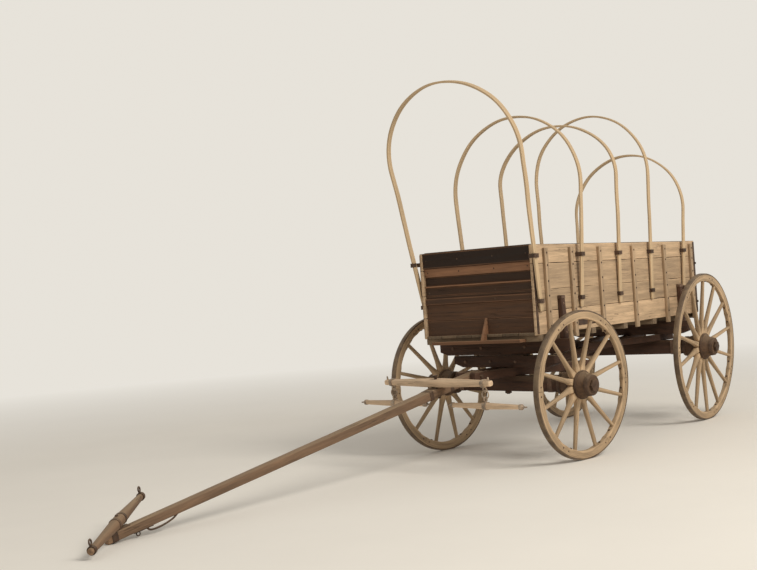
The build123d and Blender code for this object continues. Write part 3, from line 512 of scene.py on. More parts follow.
class Finish(Nodes):
    """A material under construction."""

    def __init__(self, name):
        self.material = bpy.data.materials.new(name)
        super().__init__(self.material)
        self.shader = self.node("ShaderNodeBsdfPrincipled")
        output = self.node("ShaderNodeOutputMaterial", {"Surface": self.shader.outputs["BSDF"]})
        self.surface = output.inputs["Surface"]

    def attribute(self, name, output="Fac"):
        """One of the attributes that a Shape gives to its mesh."""
        return self.node("ShaderNodeAttribute", attribute_name=name).outputs[output]

    def here(self):
        """Object coordinates."""
        return self.node("ShaderNodeTexCoord").outputs["Object"]

    def coordinates(self, along):
        """The grain attribute, or object coordinates turned so that x runs along a direction."""
        if along is None:
            return self.attribute("grain", "Vector")
        along = unit(along)
        guide = UP if abs(along[2]) < 0.9 else np.array((0.0, 1.0, 0.0))
        side = unit(np.cross(guide, along))
        turn = Matrix((along, side, np.cross(along, side))).to_euler()
        return self.node("ShaderNodeMapping", {"Vector": self.here(), "Rotation": turn}).outputs[0]

    def noise(self, where, scale, detail, rough, stretch=None, twist=0.0):
        """Fractal noise on coordinates stretched by a scale for each axis."""
        if stretch:
            where = self.node("ShaderNodeMapping", {"Vector": where, "Scale": stretch}).outputs[0]
        return self.node("ShaderNodeTexNoise", {"Vector": where, "Scale": scale, "Detail": detail,
                                                "Roughness": rough, "Distortion": twist}).outputs[0]

    def ramp(self, value, low, high, first=0.0, last=1.0):
        """A value carried in a straight line from one range to another and held there."""
        return self.node("ShaderNodeMapRange", {"Value": value, "From Min": low, "From Max": high,
                                                "To Min": first, "To Max": last}).outputs[0]

    def blend(self, share, first, second, kind="MIX"):
        """Two colours mixed, or the first multiplied by the second."""
        return self.node("ShaderNodeMix", {0: share, 6: first, 7: second}, data_type="RGBA",
                         blend_type=kind).outputs[2]

    def dusty(self, tone, patch, least, dust):
        """A colour under patches of dust on what faces the sky."""
        normal = self.node("ShaderNodeNewGeometry").outputs["Normal"]
        up = self.ramp(self.node("ShaderNodeSeparateXYZ", {0: normal}).outputs["Z"], 0.25, 0.95)
        top = self.times(up, self.ramp(patch, 0.3, 0.7, least, 1.0))
        return self.blend(self.times(top, dust), tone, scaled(colours().dust, 1.0))

    def done(self, colour, rough, height, depth, metallic=0.0):
        """Join colour, roughness and relief to the shader."""
        bump = self.node("ShaderNodeBump", {"Height": height, "Distance": depth, "Strength": 0.8})
        for key, value in (("Base Color", colour), ("Roughness", rough), ("Metallic", metallic),
                           ("Normal", bump.outputs[0]), ("Specular IOR Level", 0.3)):
            self.put(self.shader.inputs[key], value)
        return self.material


def scaled(colour, factor):
    """A colour made darker or lighter, with full opacity."""
    return [min(1.0, channel * factor) for channel in colour[:3]] + [1.0]


MADE = {}


def wood(name, colour, along=None, contrast=1.0, dust=0.5, edge=1.8, checks=1.0):
    """Weathered wood: long streaks, fine pores, drying checks, pale worn edges, dust on top."""
    key = (name, None if along is None else tuple(np.round(along, 3)))
    if key in MADE:
        return MADE[key]
    finish = Finish(name if along is None else name + "_frame")
    ramp, times, plus, blend = finish.ramp, finish.times, finish.plus, finish.blend
    where = finish.coordinates(along)
    streak = finish.noise(where, 1.0, 8.0, 0.62, stretch=(2.2, 34.0, 34.0), twist=0.25)
    pore = finish.noise(where, 1.0, 4.0, 0.6, stretch=(12.0, 260.0, 260.0))
    broad = finish.noise(where, 3.1, 4.0, 0.6, stretch=(0.7, 2.2, 2.2))
    crack = finish.noise(where, 1.0, 2.0, 0.5, stretch=(1.6, 62.0, 62.0), twist=0.35)
    crack = finish.maths("ABSOLUTE", finish.maths("SUBTRACT", crack, 0.52))
    crack = times(ramp(crack, 0.0, 0.022, 1.0, 0.0), ramp(broad, 0.45, 0.62, 0.0, checks))
    tone = blend(ramp(streak, 0.34, 0.66), scaled(colour, 1 - 0.42 * contrast),
                 scaled(colour, 1 + 0.34 * contrast))
    tone = blend(ramp(broad, 0.35, 0.7, 0.0, 0.5), tone, scaled(colour, 0.82))
    tone = blend(0.35, tone, ramp(pore, 0.3, 0.7, 0.55, 1.1), "MULTIPLY")
    tone = blend(1.0, tone, plus(finish.attribute("tone"), 1.0), "MULTIPLY")
    worn = times(finish.attribute("wear"), ramp(streak, 0.3, 0.6, 0.1, 0.75))
    tone = finish.dusty(blend(worn, tone, scaled(colour, edge)), broad, 0.3, dust)
    tone = blend(times(crack, 0.8), tone, scaled(colour, 0.18))
    height = finish.maths("SUBTRACT", plus(times(streak, 0.6), times(pore, 0.25)), crack)
    MADE[key] = finish.done(tone, ramp(streak, 0.3, 0.7, 0.62, 0.88), height, 0.0022)
    return MADE[key]


def iron(name, colour, shine=0.45, dust=0.35, grit=1.0):
    """Forged iron: brown rust in patches over dark scale, pits, and dust on what faces up."""
    if name in MADE:
        return MADE[name]
    finish = Finish(name)
    ramp, times, blend = finish.ramp, finish.times, finish.blend
    where = finish.here()
    patch = finish.noise(where, 14.0, 7.0, 0.65)
    pit = finish.noise(where, 120.0, 4.0, 0.6)
    tone = blend(ramp(patch, 0.38, 0.64), scaled(colour, 0.55), scaled(colour, 1.5))
    rust = [colour[0] * 1.9, colour[1] * 1.15, colour[2] * 0.8, 1.0]
    tone = blend(ramp(pit, 0.5, 0.75, 0.0, 0.6), tone, rust)
    tone = finish.dusty(tone, patch, 0.2, dust)
    height = finish.plus(times(patch, 0.6), times(pit, 0.4))
    MADE[name] = finish.done(tone, ramp(patch, 0.3, 0.7, 0.5, 0.8), height, 0.0012 * grit, shine)
    return MADE[name]


def worn_tread(name, colour):
    """Road-worn tyre iron: fine scratches round the rim over brown scale and dried mud."""
    finish = Finish(name)
    where = finish.attribute("grain", "Vector")
    scratch = finish.noise(where, 1.0, 6.0, 0.6, stretch=(6.0, 420.0, 420.0))
    patch = finish.noise(where, 11.0, 6.0, 0.65)
    tone = finish.blend(finish.ramp(scratch, 0.35, 0.65), scaled(colour, 0.65),
                        scaled(colour, 1.35))
    mud = finish.ramp(patch, 0.42, 0.66, 0.0, 0.45)
    tone = finish.blend(mud, tone, scaled(colours().dust, 1.0))
    height = finish.plus(finish.times(scratch, 0.4), patch)
    return finish.done(tone, finish.ramp(patch, 0.3, 0.7, 0.45, 0.85), height, 0.0012, 0.5)


def arc(centre, radius, start, end):
    """Points of a circle between two angles."""
    angle = np.linspace(start, end, ARC_POINTS)
    return together(centre[0] + radius * np.cos(angle), centre[1] + radius * np.sin(angle))


def bow_line(half_width, spring_z, rise, lean):
    """The middle line of a bow in its own plane: even distances along it, and their points.

    A tall bow is one round arc. A low one has small shoulders that touch a wider crown circle.
    """
    foot = np.array((BOW_FOOT_HALF, BOW_FOOT_Z - BOW_MARK_Z))
    top = (spring_z - BOW_MARK_Z) / cos(radians(lean)) + rise
    round_top = rise >= 0.93 * half_width
    shoulder = half_width if round_top else 0.8 * rise
    centre = np.array((half_width - shoulder, top - (half_width if round_top else rise)))
    dx, dy = foot[0] - centre[0], centre[1] - foot[1]
    leg_lean = atan2(dy, dx) - acos(shoulder / sqrt(dx * dx + dy * dy))
    if round_top:
        half = np.vstack((foot, arc(centre, shoulder, -leg_lean, pi / 2)))
    else:
        gap = rise - shoulder
        crown = (centre[0] ** 2 + gap * gap) / (2 * gap) + shoulder
        join = atan2(crown - shoulder - gap, centre[0])
        half = np.vstack((foot, arc(centre, shoulder, -leg_lean, join),
                          arc((0, top - crown), crown, join, pi / 2)[1:]))
    line = np.vstack((half, half[-2::-1] * (-1, 1)))
    length = np.concatenate(([0], np.cumsum(np.linalg.norm(np.diff(line, axis=0), axis=1))))
    s = np.linspace(0, length[-1], BOW_STATIONS)
    return s, together(*(np.interp(s, length, column) for column in line.T))


def metres(name, description, default):
    """A length that the panel shows."""
    return FloatProperty(name=name, description=description, default=default, unit="LENGTH")


def hue(name, description, *default):
    """A colour that the panel shows."""
    return FloatVectorProperty(name=name, description=description, default=default,
                               subtype="COLOR")


class WagonSizes(bpy.types.PropertyGroup):
    """Sizes of the new pieces that may be changed without touching the frame."""

    bow_width: metres("Bow width", "Width of a bow's strip", 0.0436)
    bow_thick: metres("Bow thickness", "Thickness of a bow's strip", 0.0166)
    bow_ripple: metres("Bow ripple", "How far a bow strays from its line", 0.004)
    plank_edge: metres("Plank edge", "Radius of a plank's worn edges", 0.003)
    plank_ripple: metres("Plank ripple", "Unevenness of sawn edges", 0.0012)
    strap_thick: metres("Strap thickness", "Thickness of iron straps", 0.004)
    bolt_radius: metres("Bolt radius", "Radius of a bolt's domed head", 0.010)
    frame_bevel: metres("Edge softness", "Bevel on the frame's own timbers", 0.003)


class WagonColours(bpy.types.PropertyGroup):
    """Colours of the wagon's woods and irons."""

    bow: hue("Bows", "Pale bent strips", 0.57, 0.415, 0.25)
    bare: hue("Bare wood", "Doubletree and singletrees", 0.67, 0.485, 0.32)
    # The box front colour is partly the planks' own dark wood and partly painted shade.
    box: hue("Box front", "Dark stained planks", 0.120, 0.060, 0.031)
    sides: hue("Box sides", "Pale sun-bleached planks", 0.52, 0.365, 0.225)
    # The gear colour is partly the timbers' own dark wood and partly painted shade from under the
    # box.
    gear: hue("Gear", "Running gear timbers", 0.070, 0.034, 0.020)
    wheel: hue("Wheels", "Dusty spokes and felloes", 0.44, 0.308, 0.185)
    # The hubs' dark colour is painted shade.
    hub: hue("Hubs", "Dark greasy hubs", 0.115, 0.065, 0.036)
    # The tongue colour is partly the pole's own weathered wood and partly painted shade.
    tongue: hue("Tongue", "Weathered pole", 0.20, 0.122, 0.072)
    iron: hue("Iron", "Forged irons", 0.085, 0.055, 0.038)
    rubbed: hue("Rubbed iron", "Irons worn pale by use", 0.36, 0.295, 0.225)
    tyre: hue("Tyres", "Worn tyre iron", 0.14, 0.10, 0.07)
    dust: hue("Dust", "Dust on upward faces", 0.42, 0.31, 0.19)


class WagonStage(bpy.types.PropertyGroup):
    """Floor, background, lamps and lens."""

    floor: hue("Floor", "Plain pale floor", 0.86, 0.82, 0.75)
    back: hue("Background", "Pale background", 0.80, 0.765, 0.70)
    key: FloatProperty(name="Key lamp", description="Power of the large soft lamp in watts",
                       default=1450.0)
    fill: FloatProperty(name="Fill", description="Strength of the light from all round",
                        default=0.48)
    lens: FloatProperty(name="Lens", description="Focal length in millimetres", default=55.994)


def sizes():
    """The sizes set in the panel."""
    return bpy.context.scene.wagon_sizes


def colours():
    """The colours set in the panel."""
    return bpy.context.scene.wagon_colours


class WAGON_OT_bows(bpy.types.Operator):
    """Five flat strips bent to arches, a little twisted and uneven."""

    bl_idname = "wagon.bows"
    bl_label = "Bows"

    def execute(self, context):
        material = wood("bent_strip", colours().bow, contrast=0.3, dust=0.1, edge=1.15,
                        checks=0.2)
        for number, (ahead, half_width, spring_z, rise, lean) in enumerate(BOWS, 1):
            tilt = radians(lean)
            plane = Axes(ROOT.at(ahead, 0, BOW_MARK_Z), (0, 1, 0), (cos(tilt), 0, -sin(tilt)))
            s, line = bow_line(half_width, spring_z, rise, lean)
            free = smooth((line[:, 1] + BOW_MARK_Z - BOW_HELD_Z) / BOW_FREE_OVER)

            def stray(seed, size, reach):
                """A slow wander along the bow that is nothing where the staples hold it."""
                return (ripple(s, number + seed, size, reach) * free)[:, None]

            ahead_line = unit(np.gradient(line, axis=0))
            across = np.stack((ahead_line[:, 1], -ahead_line[:, 0]), -1)
            line = line + across * stray(0, sizes().bow_ripple, 1.6)
            forth = stray(40, sizes().bow_ripple * 1.4, 1.9)
            ease = np.ones((len(s), 1))
            ease[[0, -1]] = 0.9
            thick = sizes().bow_thick / 2 * ease * (1 + stray(80, 0.05, 0.7))
            wide = sizes().bow_width / 2 * ease * (1 + stray(60, 0.04, 0.9))
            a, b, wear = rounded(thick, wide, 0.0035, 0.004)
            twist = stray(20, 0.09, 2.6)
            a, b = a * np.cos(twist) - b * np.sin(twist), a * np.sin(twist) + b * np.cos(twist)
            x, z = (line[:, i, None] + a * across[:, i, None] for i in (0, 1))
            shape = Shape()
            shape.tube(plane.at(x, z, forth + b), together(s[:, None] + 5.3 * number, a, b), wear)
            shape.made(f"bow_strip_{number}", "wagon", material, [f"bow_{number}"], "bow_wood")
        return {"FINISHED"}


class WAGON_OT_wheels(bpy.types.Operator):
    """Four dished wheels: turned hubs, shaved spokes, jointed felloes, coned tyres, irons."""

    bl_idname = "wagon.wheels"
    bl_label = "Wheels"

    def execute(self, context):
        for end, (radius, count, flat) in WHEELS.items():
            for name in (f"{end}_left", f"{end}_right"):
                body = f"wheel_{name}"
                ahead = GEAR.x if end == "front" else ROOT.x
                axes = Axes(place(f"{body}_roll"), ahead, way(f"{body}_roll"))
                self.hub(name, body, axes, flat)
                self.spokes(name, body, axes, radius, count, flat)
                self.felloes(name, body, axes, radius, count // 2)
                self.tyre(name, body, axes, radius)
        return {"FINISHED"}

    def hub(self, name, body, axes, flat):
        """A turned barrel with its bore, and four iron bands shrunk on."""
        mid = flat + 0.001
        neck = (flat + 0.084) / 2
        nose = (flat + 0.072) / 2
        bore = 0.0346
        shape = Shape()
        # Along the axle from the spokes' feet, and the radius there
        turned(shape, axes, [(-0.185, bore), (-0.185, 0.080), (-0.181, 0.084), (-0.150, 0.086),
                             (-0.110, neck), (-0.078, mid - 0.002), (-0.066, mid), (-0.004, mid),
                             (0.008, mid - 0.002), (0.034, nose), (0.062, 0.079),
                             (0.090, 0.0735), (0.095, 0.070), (0.095, bore)], seed=len(name))
        # The hub barrel's dark wood colour is painted shade.
        material = wood("shaded_hub_wood", colours().hub, contrast=0.9, dust=0.4)
        shape.made(f"{name}_hub_barrel", body, material, [f"{body}_hub"], "wheel_wood")
        irons = Shape()
        thick, soft = sizes().strap_thick, SOFT_IRON
        for start, end, first, last in ((-0.184, -0.154, 0.085, 0.087),
                                        (-0.080, -0.066, mid - 0.002, mid),
                                        (-0.004, 0.010, mid, mid - 0.002),
                                        (0.062, 0.094, 0.079, 0.0735)):
            turned(irons, axes, [(start, first - 0.001), (start, first + thick * 0.7),
                                 (start + soft, first + thick), (end - soft, last + thick),
                                 (end, last + thick * 0.7), (end, last - 0.001)])
        irons.made(f"{name}_hub_bands", body)

    def spokes(self, name, body, axes, radius, count, flat):
        """Each spoke is square at its foot, oval past its throat, and leans out to the rim."""
        rim = radius - TYRE_THICK - FELLOE_DEPTH
        foot_width = 2 * flat * tan(pi / count) - 0.004
        span = rim - flat
        marks, *table = np.array([
            # from the axle, width, depth, roundness
            (flat - 0.012, foot_width, 0.048, 7.0),
            (flat + 0.010, foot_width, 0.048, 6.0),
            (flat + 0.10 * span, 0.043, 0.046, 3.6),
            (flat + 0.22 * span, 0.036, 0.042, 2.5),
            (flat + 0.55 * span, 0.031, 0.036, 2.2),
            (rim - 0.020, 0.028, 0.031, 2.2),
            (rim, 0.029, 0.031, 2.4),
            (rim + 0.006, 0.029, 0.031, 2.4),
        ]).T
        out = np.linspace(marks[0], marks[-1], SPOKE_STATIONS)
        width, depth, power = (np.interp(out, marks, column) for column in table)
        y, z = superellipse(width / 2, depth / 2, power, 16)
        r, square = out[:, None], power[:, None] > 3
        lift = -DISH * np.clip((rim - r) / span, 0, 1)
        wear = np.clip((flat + 0.05 - r) / 0.03, 0, 1) * square * 0.7
        shape = Shape()
        for number in range(count):
            angle = (number + 0.5) * 2 * pi / count
            t = y + 0.0015 * sin(number * 2.4) * np.sin((r - flat) / span * pi)
            points = axes.at(r * cos(angle) - t * sin(angle), r * sin(angle) + t * cos(angle),
                             z + lift)
            shape.tube(points, together(r + 2.9 * number, y, z), wear)
        material = wood("spoke_wood", colours().wheel, contrast=0.9, dust=0.55)
        shape.made(f"{name}_shaved_spokes", body, material, [f"{body}_spokes"], "wheel_wood")

    def felloes(self, name, body, axes, radius, blocks):
        """Bent rim blocks over two spokes each, chamfered between the spokes, butted ends."""
        inner = radius - TYRE_THICK - FELLOE_DEPTH
        middle = inner + FELLOE_DEPTH / 2
        pitch = 2 * pi / blocks
        gap = 0.0012 / radius
        rivet_aside, nut_aside = 0.034, 0.075
        u = np.linspace(0, 1, FELLOE_STATIONS)[:, None]
        from_spoke = np.abs((u * 2) % 1 - 0.5) * 2
        chamfer = np.clip((from_spoke - 0.25) / 0.3, 0, 1) * np.clip(
            np.minimum(u, 1 - u) / 0.08, 0, 1)
        soft = 0.003 + 0.010 * smooth(chamfer)
        hard = np.full(u.shape, 0.002)
        x, y, wear = rounded(FELLOE_DEPTH / 2, HALF_FELLOE, [hard, soft, soft, hard], 0.006)
        shape, irons = Shape(), Shape()
        for block in range(blocks):
            joint = block * pitch
            grain = together(u * pitch * middle + 4.1 * block, x, y)
            shape.tube(axes.polar(middle + x, joint + gap + u * (pitch - 2 * gap), y), grain,
                       wear * 0.8)
            for side in (-1, 1):
                for shift in (-rivet_aside, rivet_aside):
                    spot = axes.polar(middle, joint + shift / middle, side * HALF_FELLOE)
                    heads(irons, spot, side * axes.z, 0.0065, 0.003, 8)
            for shift in (-nut_aside, nut_aside):
                spot = axes.polar(inner, joint + shift / inner)
                heads(irons, spot, axes.origin - spot, 0.009, 0.007, 4)
        material = wood("felloe_wood", colours().wheel, contrast=0.8, dust=0.6, edge=1.5)
        shape.made(f"{name}_rim_blocks", body, material, [f"{body}_felloes"], "wheel_wood")
        irons.made(f"{name}_rim_irons", body)

    def tyre(self, name, body, axes, radius):
        """A tread coned by the arm's dip with rounded shoulders, spun round the arm."""
        cone, soft, edge = tan(DIP), 0.004, HALF_TYRE
        seat = radius - TYRE_THICK + 0.0002
        left, right = ([(side * edge, seat), (side * edge, radius - side * edge * cone - soft),
                        (side * (edge - soft * 0.3), radius - side * edge * cone - soft * 0.3),
                        (side * (edge - soft), radius - side * (edge - soft) * cone)]
                       for side in (-1, 1))
        shape = Shape()
        turned(shape, axes, left + [(0.0, radius)] + right[::-1], TYRE_SIDES, rim=radius)
        shape.made(f"{name}_tread", body, worn_tread(f"{name}_tyre_iron", colours().tyre),
                   [f"{body}_tyre"], "tyre_iron")


def corners(node):
    """The low and the high corner of a frame node."""
    return (np.array(corner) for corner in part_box(node))


class WAGON_OT_box_boards(bpy.types.Operator):
    """The box's planks: floor boards, two boards to each side, front boards and end gate."""

    bl_idname = "wagon.box_boards"
    bl_label = "Box boards"

    def execute(self, context):
        edge, wobble = sizes().plank_edge, sizes().plank_ripple
        # The front boards and the footboard take the box front colour with its painted shade.
        front_wood_and_shade = wood("box_plank", colours().box, contrast=0.75, dust=0.3, edge=1.9)
        floor_wood = wood("floor_plank", scaled(colours().sides, 0.36), contrast=0.8, dust=0.5,
                          edge=0.8)
        bleached = wood("side_plank", colours().sides, contrast=0.7, dust=0.35, edge=1.2)
        self.lay_floor(floor_wood, edge, wobble / 2)
        self.lay_sides(bleached, edge, wobble)
        self.lay_front(front_wood_and_shade, min(edge, 0.0025), wobble * 0.6)
        self.lay_gate(bleached, edge, wobble * 0.6)
        self.lay_footboard(front_wood_and_shade, edge, wobble * 0.6)
        return {"FINISHED"}

    def lay_floor(self, material, edge, wobble):
        """Boards side by side with open joints, each a little darker or paler."""
        shape = Shape()
        low, high = corners("floor")
        cuts = np.linspace(low[Y], high[Y], FLOOR_BOARDS + 1)
        for i in range(FLOOR_BOARDS):
            shape.tone = 0.35 * sin(i * 2.1)
            plank(shape, (low[X], cuts[i] + 0.001, low[Z]), (high[X], cuts[i + 1] - 0.001, high[Z]),
                  X, 100 + i, edge, wobble)
        shape.made("floor_planks", "wagon", material, ["floor"], "box_wood")

    def lay_sides(self, material, edge, wobble):
        """Two boards to each side and each top side, with laps in their joints."""
        # Where the two boards meet, as a share of the side's height
        shares = {"side_left": 0.52, "side_right": 0.48, "top_side_left": 0.58,
                  "top_side_right": 0.6}
        for number, (node, share) in enumerate(shares.items()):
            shape = Shape()
            low, high = corners(node)
            split = low[Z] + share * (high[Z] - low[Z])
            shape.tone = 0.14 * cos(number * 1.9)
            plank(shape, low, (high[X], high[Y], split - 0.001), X, 10 + number, edge, wobble)
            shape.tone = -shape.tone
            plank(shape, (low[X], low[Y], split + 0.001), high, X, 20 + number, edge, wobble)
            shape.tone = LAP_TONE
            lap(shape, low, high, split, 25 + number)
            if not node.startswith("top"):
                lap(shape, low, high, high[Z], 28 + number)
            shape.made(f"{node}_planks", "wagon", material, [node], "box_wood")

    def lay_front(self, material, edge, wobble):
        """Boards that step in and out; the one at the split is sawn in two there."""
        inside = HALF_BOX - 0.0225
        front = {"front_board": Shape(), "top_front_board": Shape()}
        for number, (bottom, top, proud, tone) in enumerate(FRONT_STEPS):
            if bottom < FRONT_SPLIT < top:
                parts = [("front_board", bottom, FRONT_SPLIT - 0.0005),
                         ("top_front_board", FRONT_SPLIT + 0.0005, top)]
            else:
                parts = [("front_board" if top < FRONT_SPLIT else "top_front_board", bottom, top)]
            for node, foot, head in parts:
                shape = front[node]
                low = ROOT.at(FRONT_FACE - BOARD_THICK, -inside, foot)
                shape.tone = tone
                plank(shape, low, ROOT.at(FRONT_FACE + proud, inside, head), Y, 30 + number,
                      edge, wobble)
                shape.tone = -0.5
                lap(shape, low, ROOT.at(FRONT_FACE - 0.006, inside, head), head + 0.0005,
                    60 + number)
        for node, shape in front.items():
            shape.made(f"{node}_planks", "wagon", material, [node], "box_wood")

    def lay_gate(self, material, edge, wobble):
        """Boards one above the other, with laps in their joints."""
        shape = Shape()
        low, high = corners("end_gate")
        cuts = np.linspace(low[Z], high[Z], len(GATE_TONES) + 1)
        for i, tone in enumerate(GATE_TONES):
            shape.tone = tone
            plank(shape, (low[X], low[Y], cuts[i] + 0.0006),
                  (high[X], high[Y], cuts[i + 1] - 0.0006), Y, 50 + i, edge, wobble)
        shape.tone = LAP_TONE
        for height in cuts[1:-1]:
            lap(shape, low, high, height, 55)
        shape.made("end_gate_planks", "end_gate", material, ["end_gate"], "box_wood")

    def lay_footboard(self, material, edge, wobble):
        """A board across the front, and a small upright bracket sawn to shape."""
        shape = Shape()
        low, high = corners("footboard")
        shape.tone = 0.6
        plank(shape, low, (high[X], high[Y], low[Z] + 0.024), Y, 70, edge, wobble)
        face, nose = FRONT_FACE + 0.0005, BOX_FRONT + 0.062
        foot, step, tip = 0.931, 0.975, 1.100
        shape.tone = 1.4
        sawn(shape, ROOT.shifted(y=0.060), [(BOX_FRONT, foot), (nose, foot), (face, tip),
                                            (face, step), (BOX_FRONT, step)], BOARD_THICK, 71)
        shape.made("footboard_planks", "wagon", material, ["footboard"], "box_wood")


class WAGON_OT_box_irons(bpy.types.Operator):
    """Strap irons, rub irons, bolts and rods on the box, and the rivets of the bow staples."""

    bl_idname = "wagon.box_irons"
    bl_label = "Box irons"

    def execute(self, context):
        thick, radius = sizes().strap_thick, sizes().bolt_radius
        shape = Shape()
        for side in (-1, 1):
            self.side_irons(shape, side, thick, radius)
        self.cross_irons(shape, thick, radius)
        shape.made("box_irons", "wagon")
        self.gate_irons(radius)
        self.staple_rivets()
        return {"FINISHED"}

    def side_irons(self, shape, side, thick, radius):
        """A strap at each corner, a wear plate, their bolts, the cleats' bolts and a rub iron."""
        straps = (
            # from and to along the box, from and to in height, which way it runs
            (0.336, 0.368, 0.960, 1.622, Z),
            (-2.674, -2.642, 0.960, 1.622, Z),
            (-0.660, -0.270, 0.985, 1.050, X),
        )
        bolts = (
            # places along the box, heights
            ((0.352, -2.658), (0.985, 1.09, 1.20, 1.33, 1.45, 1.58)),
            ((-0.64, -0.465, -0.29), (1.002, 1.034)),
        )
        out = side * ROOT.y
        heads(shape, [ROOT.at(x, side * (HALF_BOX + CLEAT_OUT), z) for x in CLEATS
                      for z in (1.01, 1.12, 1.24, 1.35, 1.47, 1.565)], out, radius * 0.85, 0.004)
        near, far = sorted((side * (HALF_BOX - 0.0005), side * (HALF_BOX + thick)))
        for start, end, bottom, top, along in straps:
            plank(shape, ROOT.at(start, near, bottom), ROOT.at(end, far, top), along, 5, **PLATE)
        heads(shape, [ROOT.at(x, side * (HALF_BOX + thick), z) for places, heights in bolts
                      for x in places for z in heights], out, radius * 0.7, 0.003)
        near, far = sorted((side * (HALF_BOX - 0.021), side * (HALF_BOX - 0.001)))
        plank(shape, ROOT.at(BOX_REAR + 0.004, near, 1.629), ROOT.at(BOX_FRONT - 0.004, far, 1.632),
              X, 6, **RUB_IRON)

    def cross_irons(self, shape, thick, radius):
        """Two rods through the rear end with their nuts, and the front's rub iron and bolts."""
        rod_x, inset = -2.666, 0.024
        for z in (1.060, 1.420):
            rod(shape, [ROOT.at(rod_x, y, z) for y in (-0.524, -0.2, 0.2, 0.524)], 0.006)
            for side in (-1, 1):
                heads(shape, ROOT.at(rod_x, side * (HALF_BOX + thick), z), side * ROOT.y, 0.013,
                      0.009, 4)
        plank(shape, ROOT.at(FRONT_FACE + 0.002, inset - HALF_BOX, 1.6285),
              ROOT.at(FRONT_FACE + 0.0185, HALF_BOX - inset, 1.6318), Y, 7, **RUB_IRON)
        # Heights of the front's bolts, and how far the board's face stands ahead there
        rows = ((1.03, 0.0), (1.155, 0.0), (1.245, 0.014), (1.315, 0.0), (1.475, 0.004),
                (1.57, 0.018))
        heads(shape, [ROOT.at(FRONT_FACE + proud, y, z) for z, proud in rows
                      for y in (-0.455, -0.16, 0.16, 0.455)], ROOT.x, radius * 0.6, 0.003, 8)

    def gate_irons(self, radius):
        """Two upright straps on the end gate, with six bolts each."""
        shape = Shape()
        half, end = 0.018, 0.02
        low, high = corners("end_gate")
        back = low[X] - 0.0035
        for side in (-1, 1):
            y = (low[Y] + high[Y]) / 2 + side * 0.27
            plank(shape, (back, y - half, low[Z] + end), (low[X] + 0.0005, y + half, high[Z] - end),
                  Z, 8, **PLATE)
            heads(shape, [(back, y, z) for z in np.linspace(low[Z] + 0.06, high[Z] - 0.06, 6)],
                  -ROOT.x, radius * 0.6, 0.003, 8)
        shape.made("end_gate_irons", "end_gate")

    def staple_rivets(self):
        """A rivet on each staple, where the bow's leaning leg passes its height."""
        rivets = Shape()
        for ahead, half_width, spring_z, rise, lean in BOWS:
            tilt = radians(lean)
            line = bow_line(half_width, spring_z, rise, lean)[1]
            leg = (line[1, 0] - line[0, 0]) / (line[1, 1] - line[0, 1])
            for z in STAPLE_HEIGHTS:
                x = ahead + (z - BOW_MARK_Z) * tan(tilt)
                middle = line[0, 0] + ((z - BOW_MARK_Z) / cos(tilt) - line[0, 1]) * leg
                y = middle + sizes().bow_thick / 2 + STAPLE_HALF * abs(leg) + STAPLE_THICK
                for side in (-1, 1):
                    heads(rivets, ROOT.at(x, side * y, z), side * ROOT.y, 0.006, 0.003, 8)
        rivets.made("staple_rivets", "wagon")


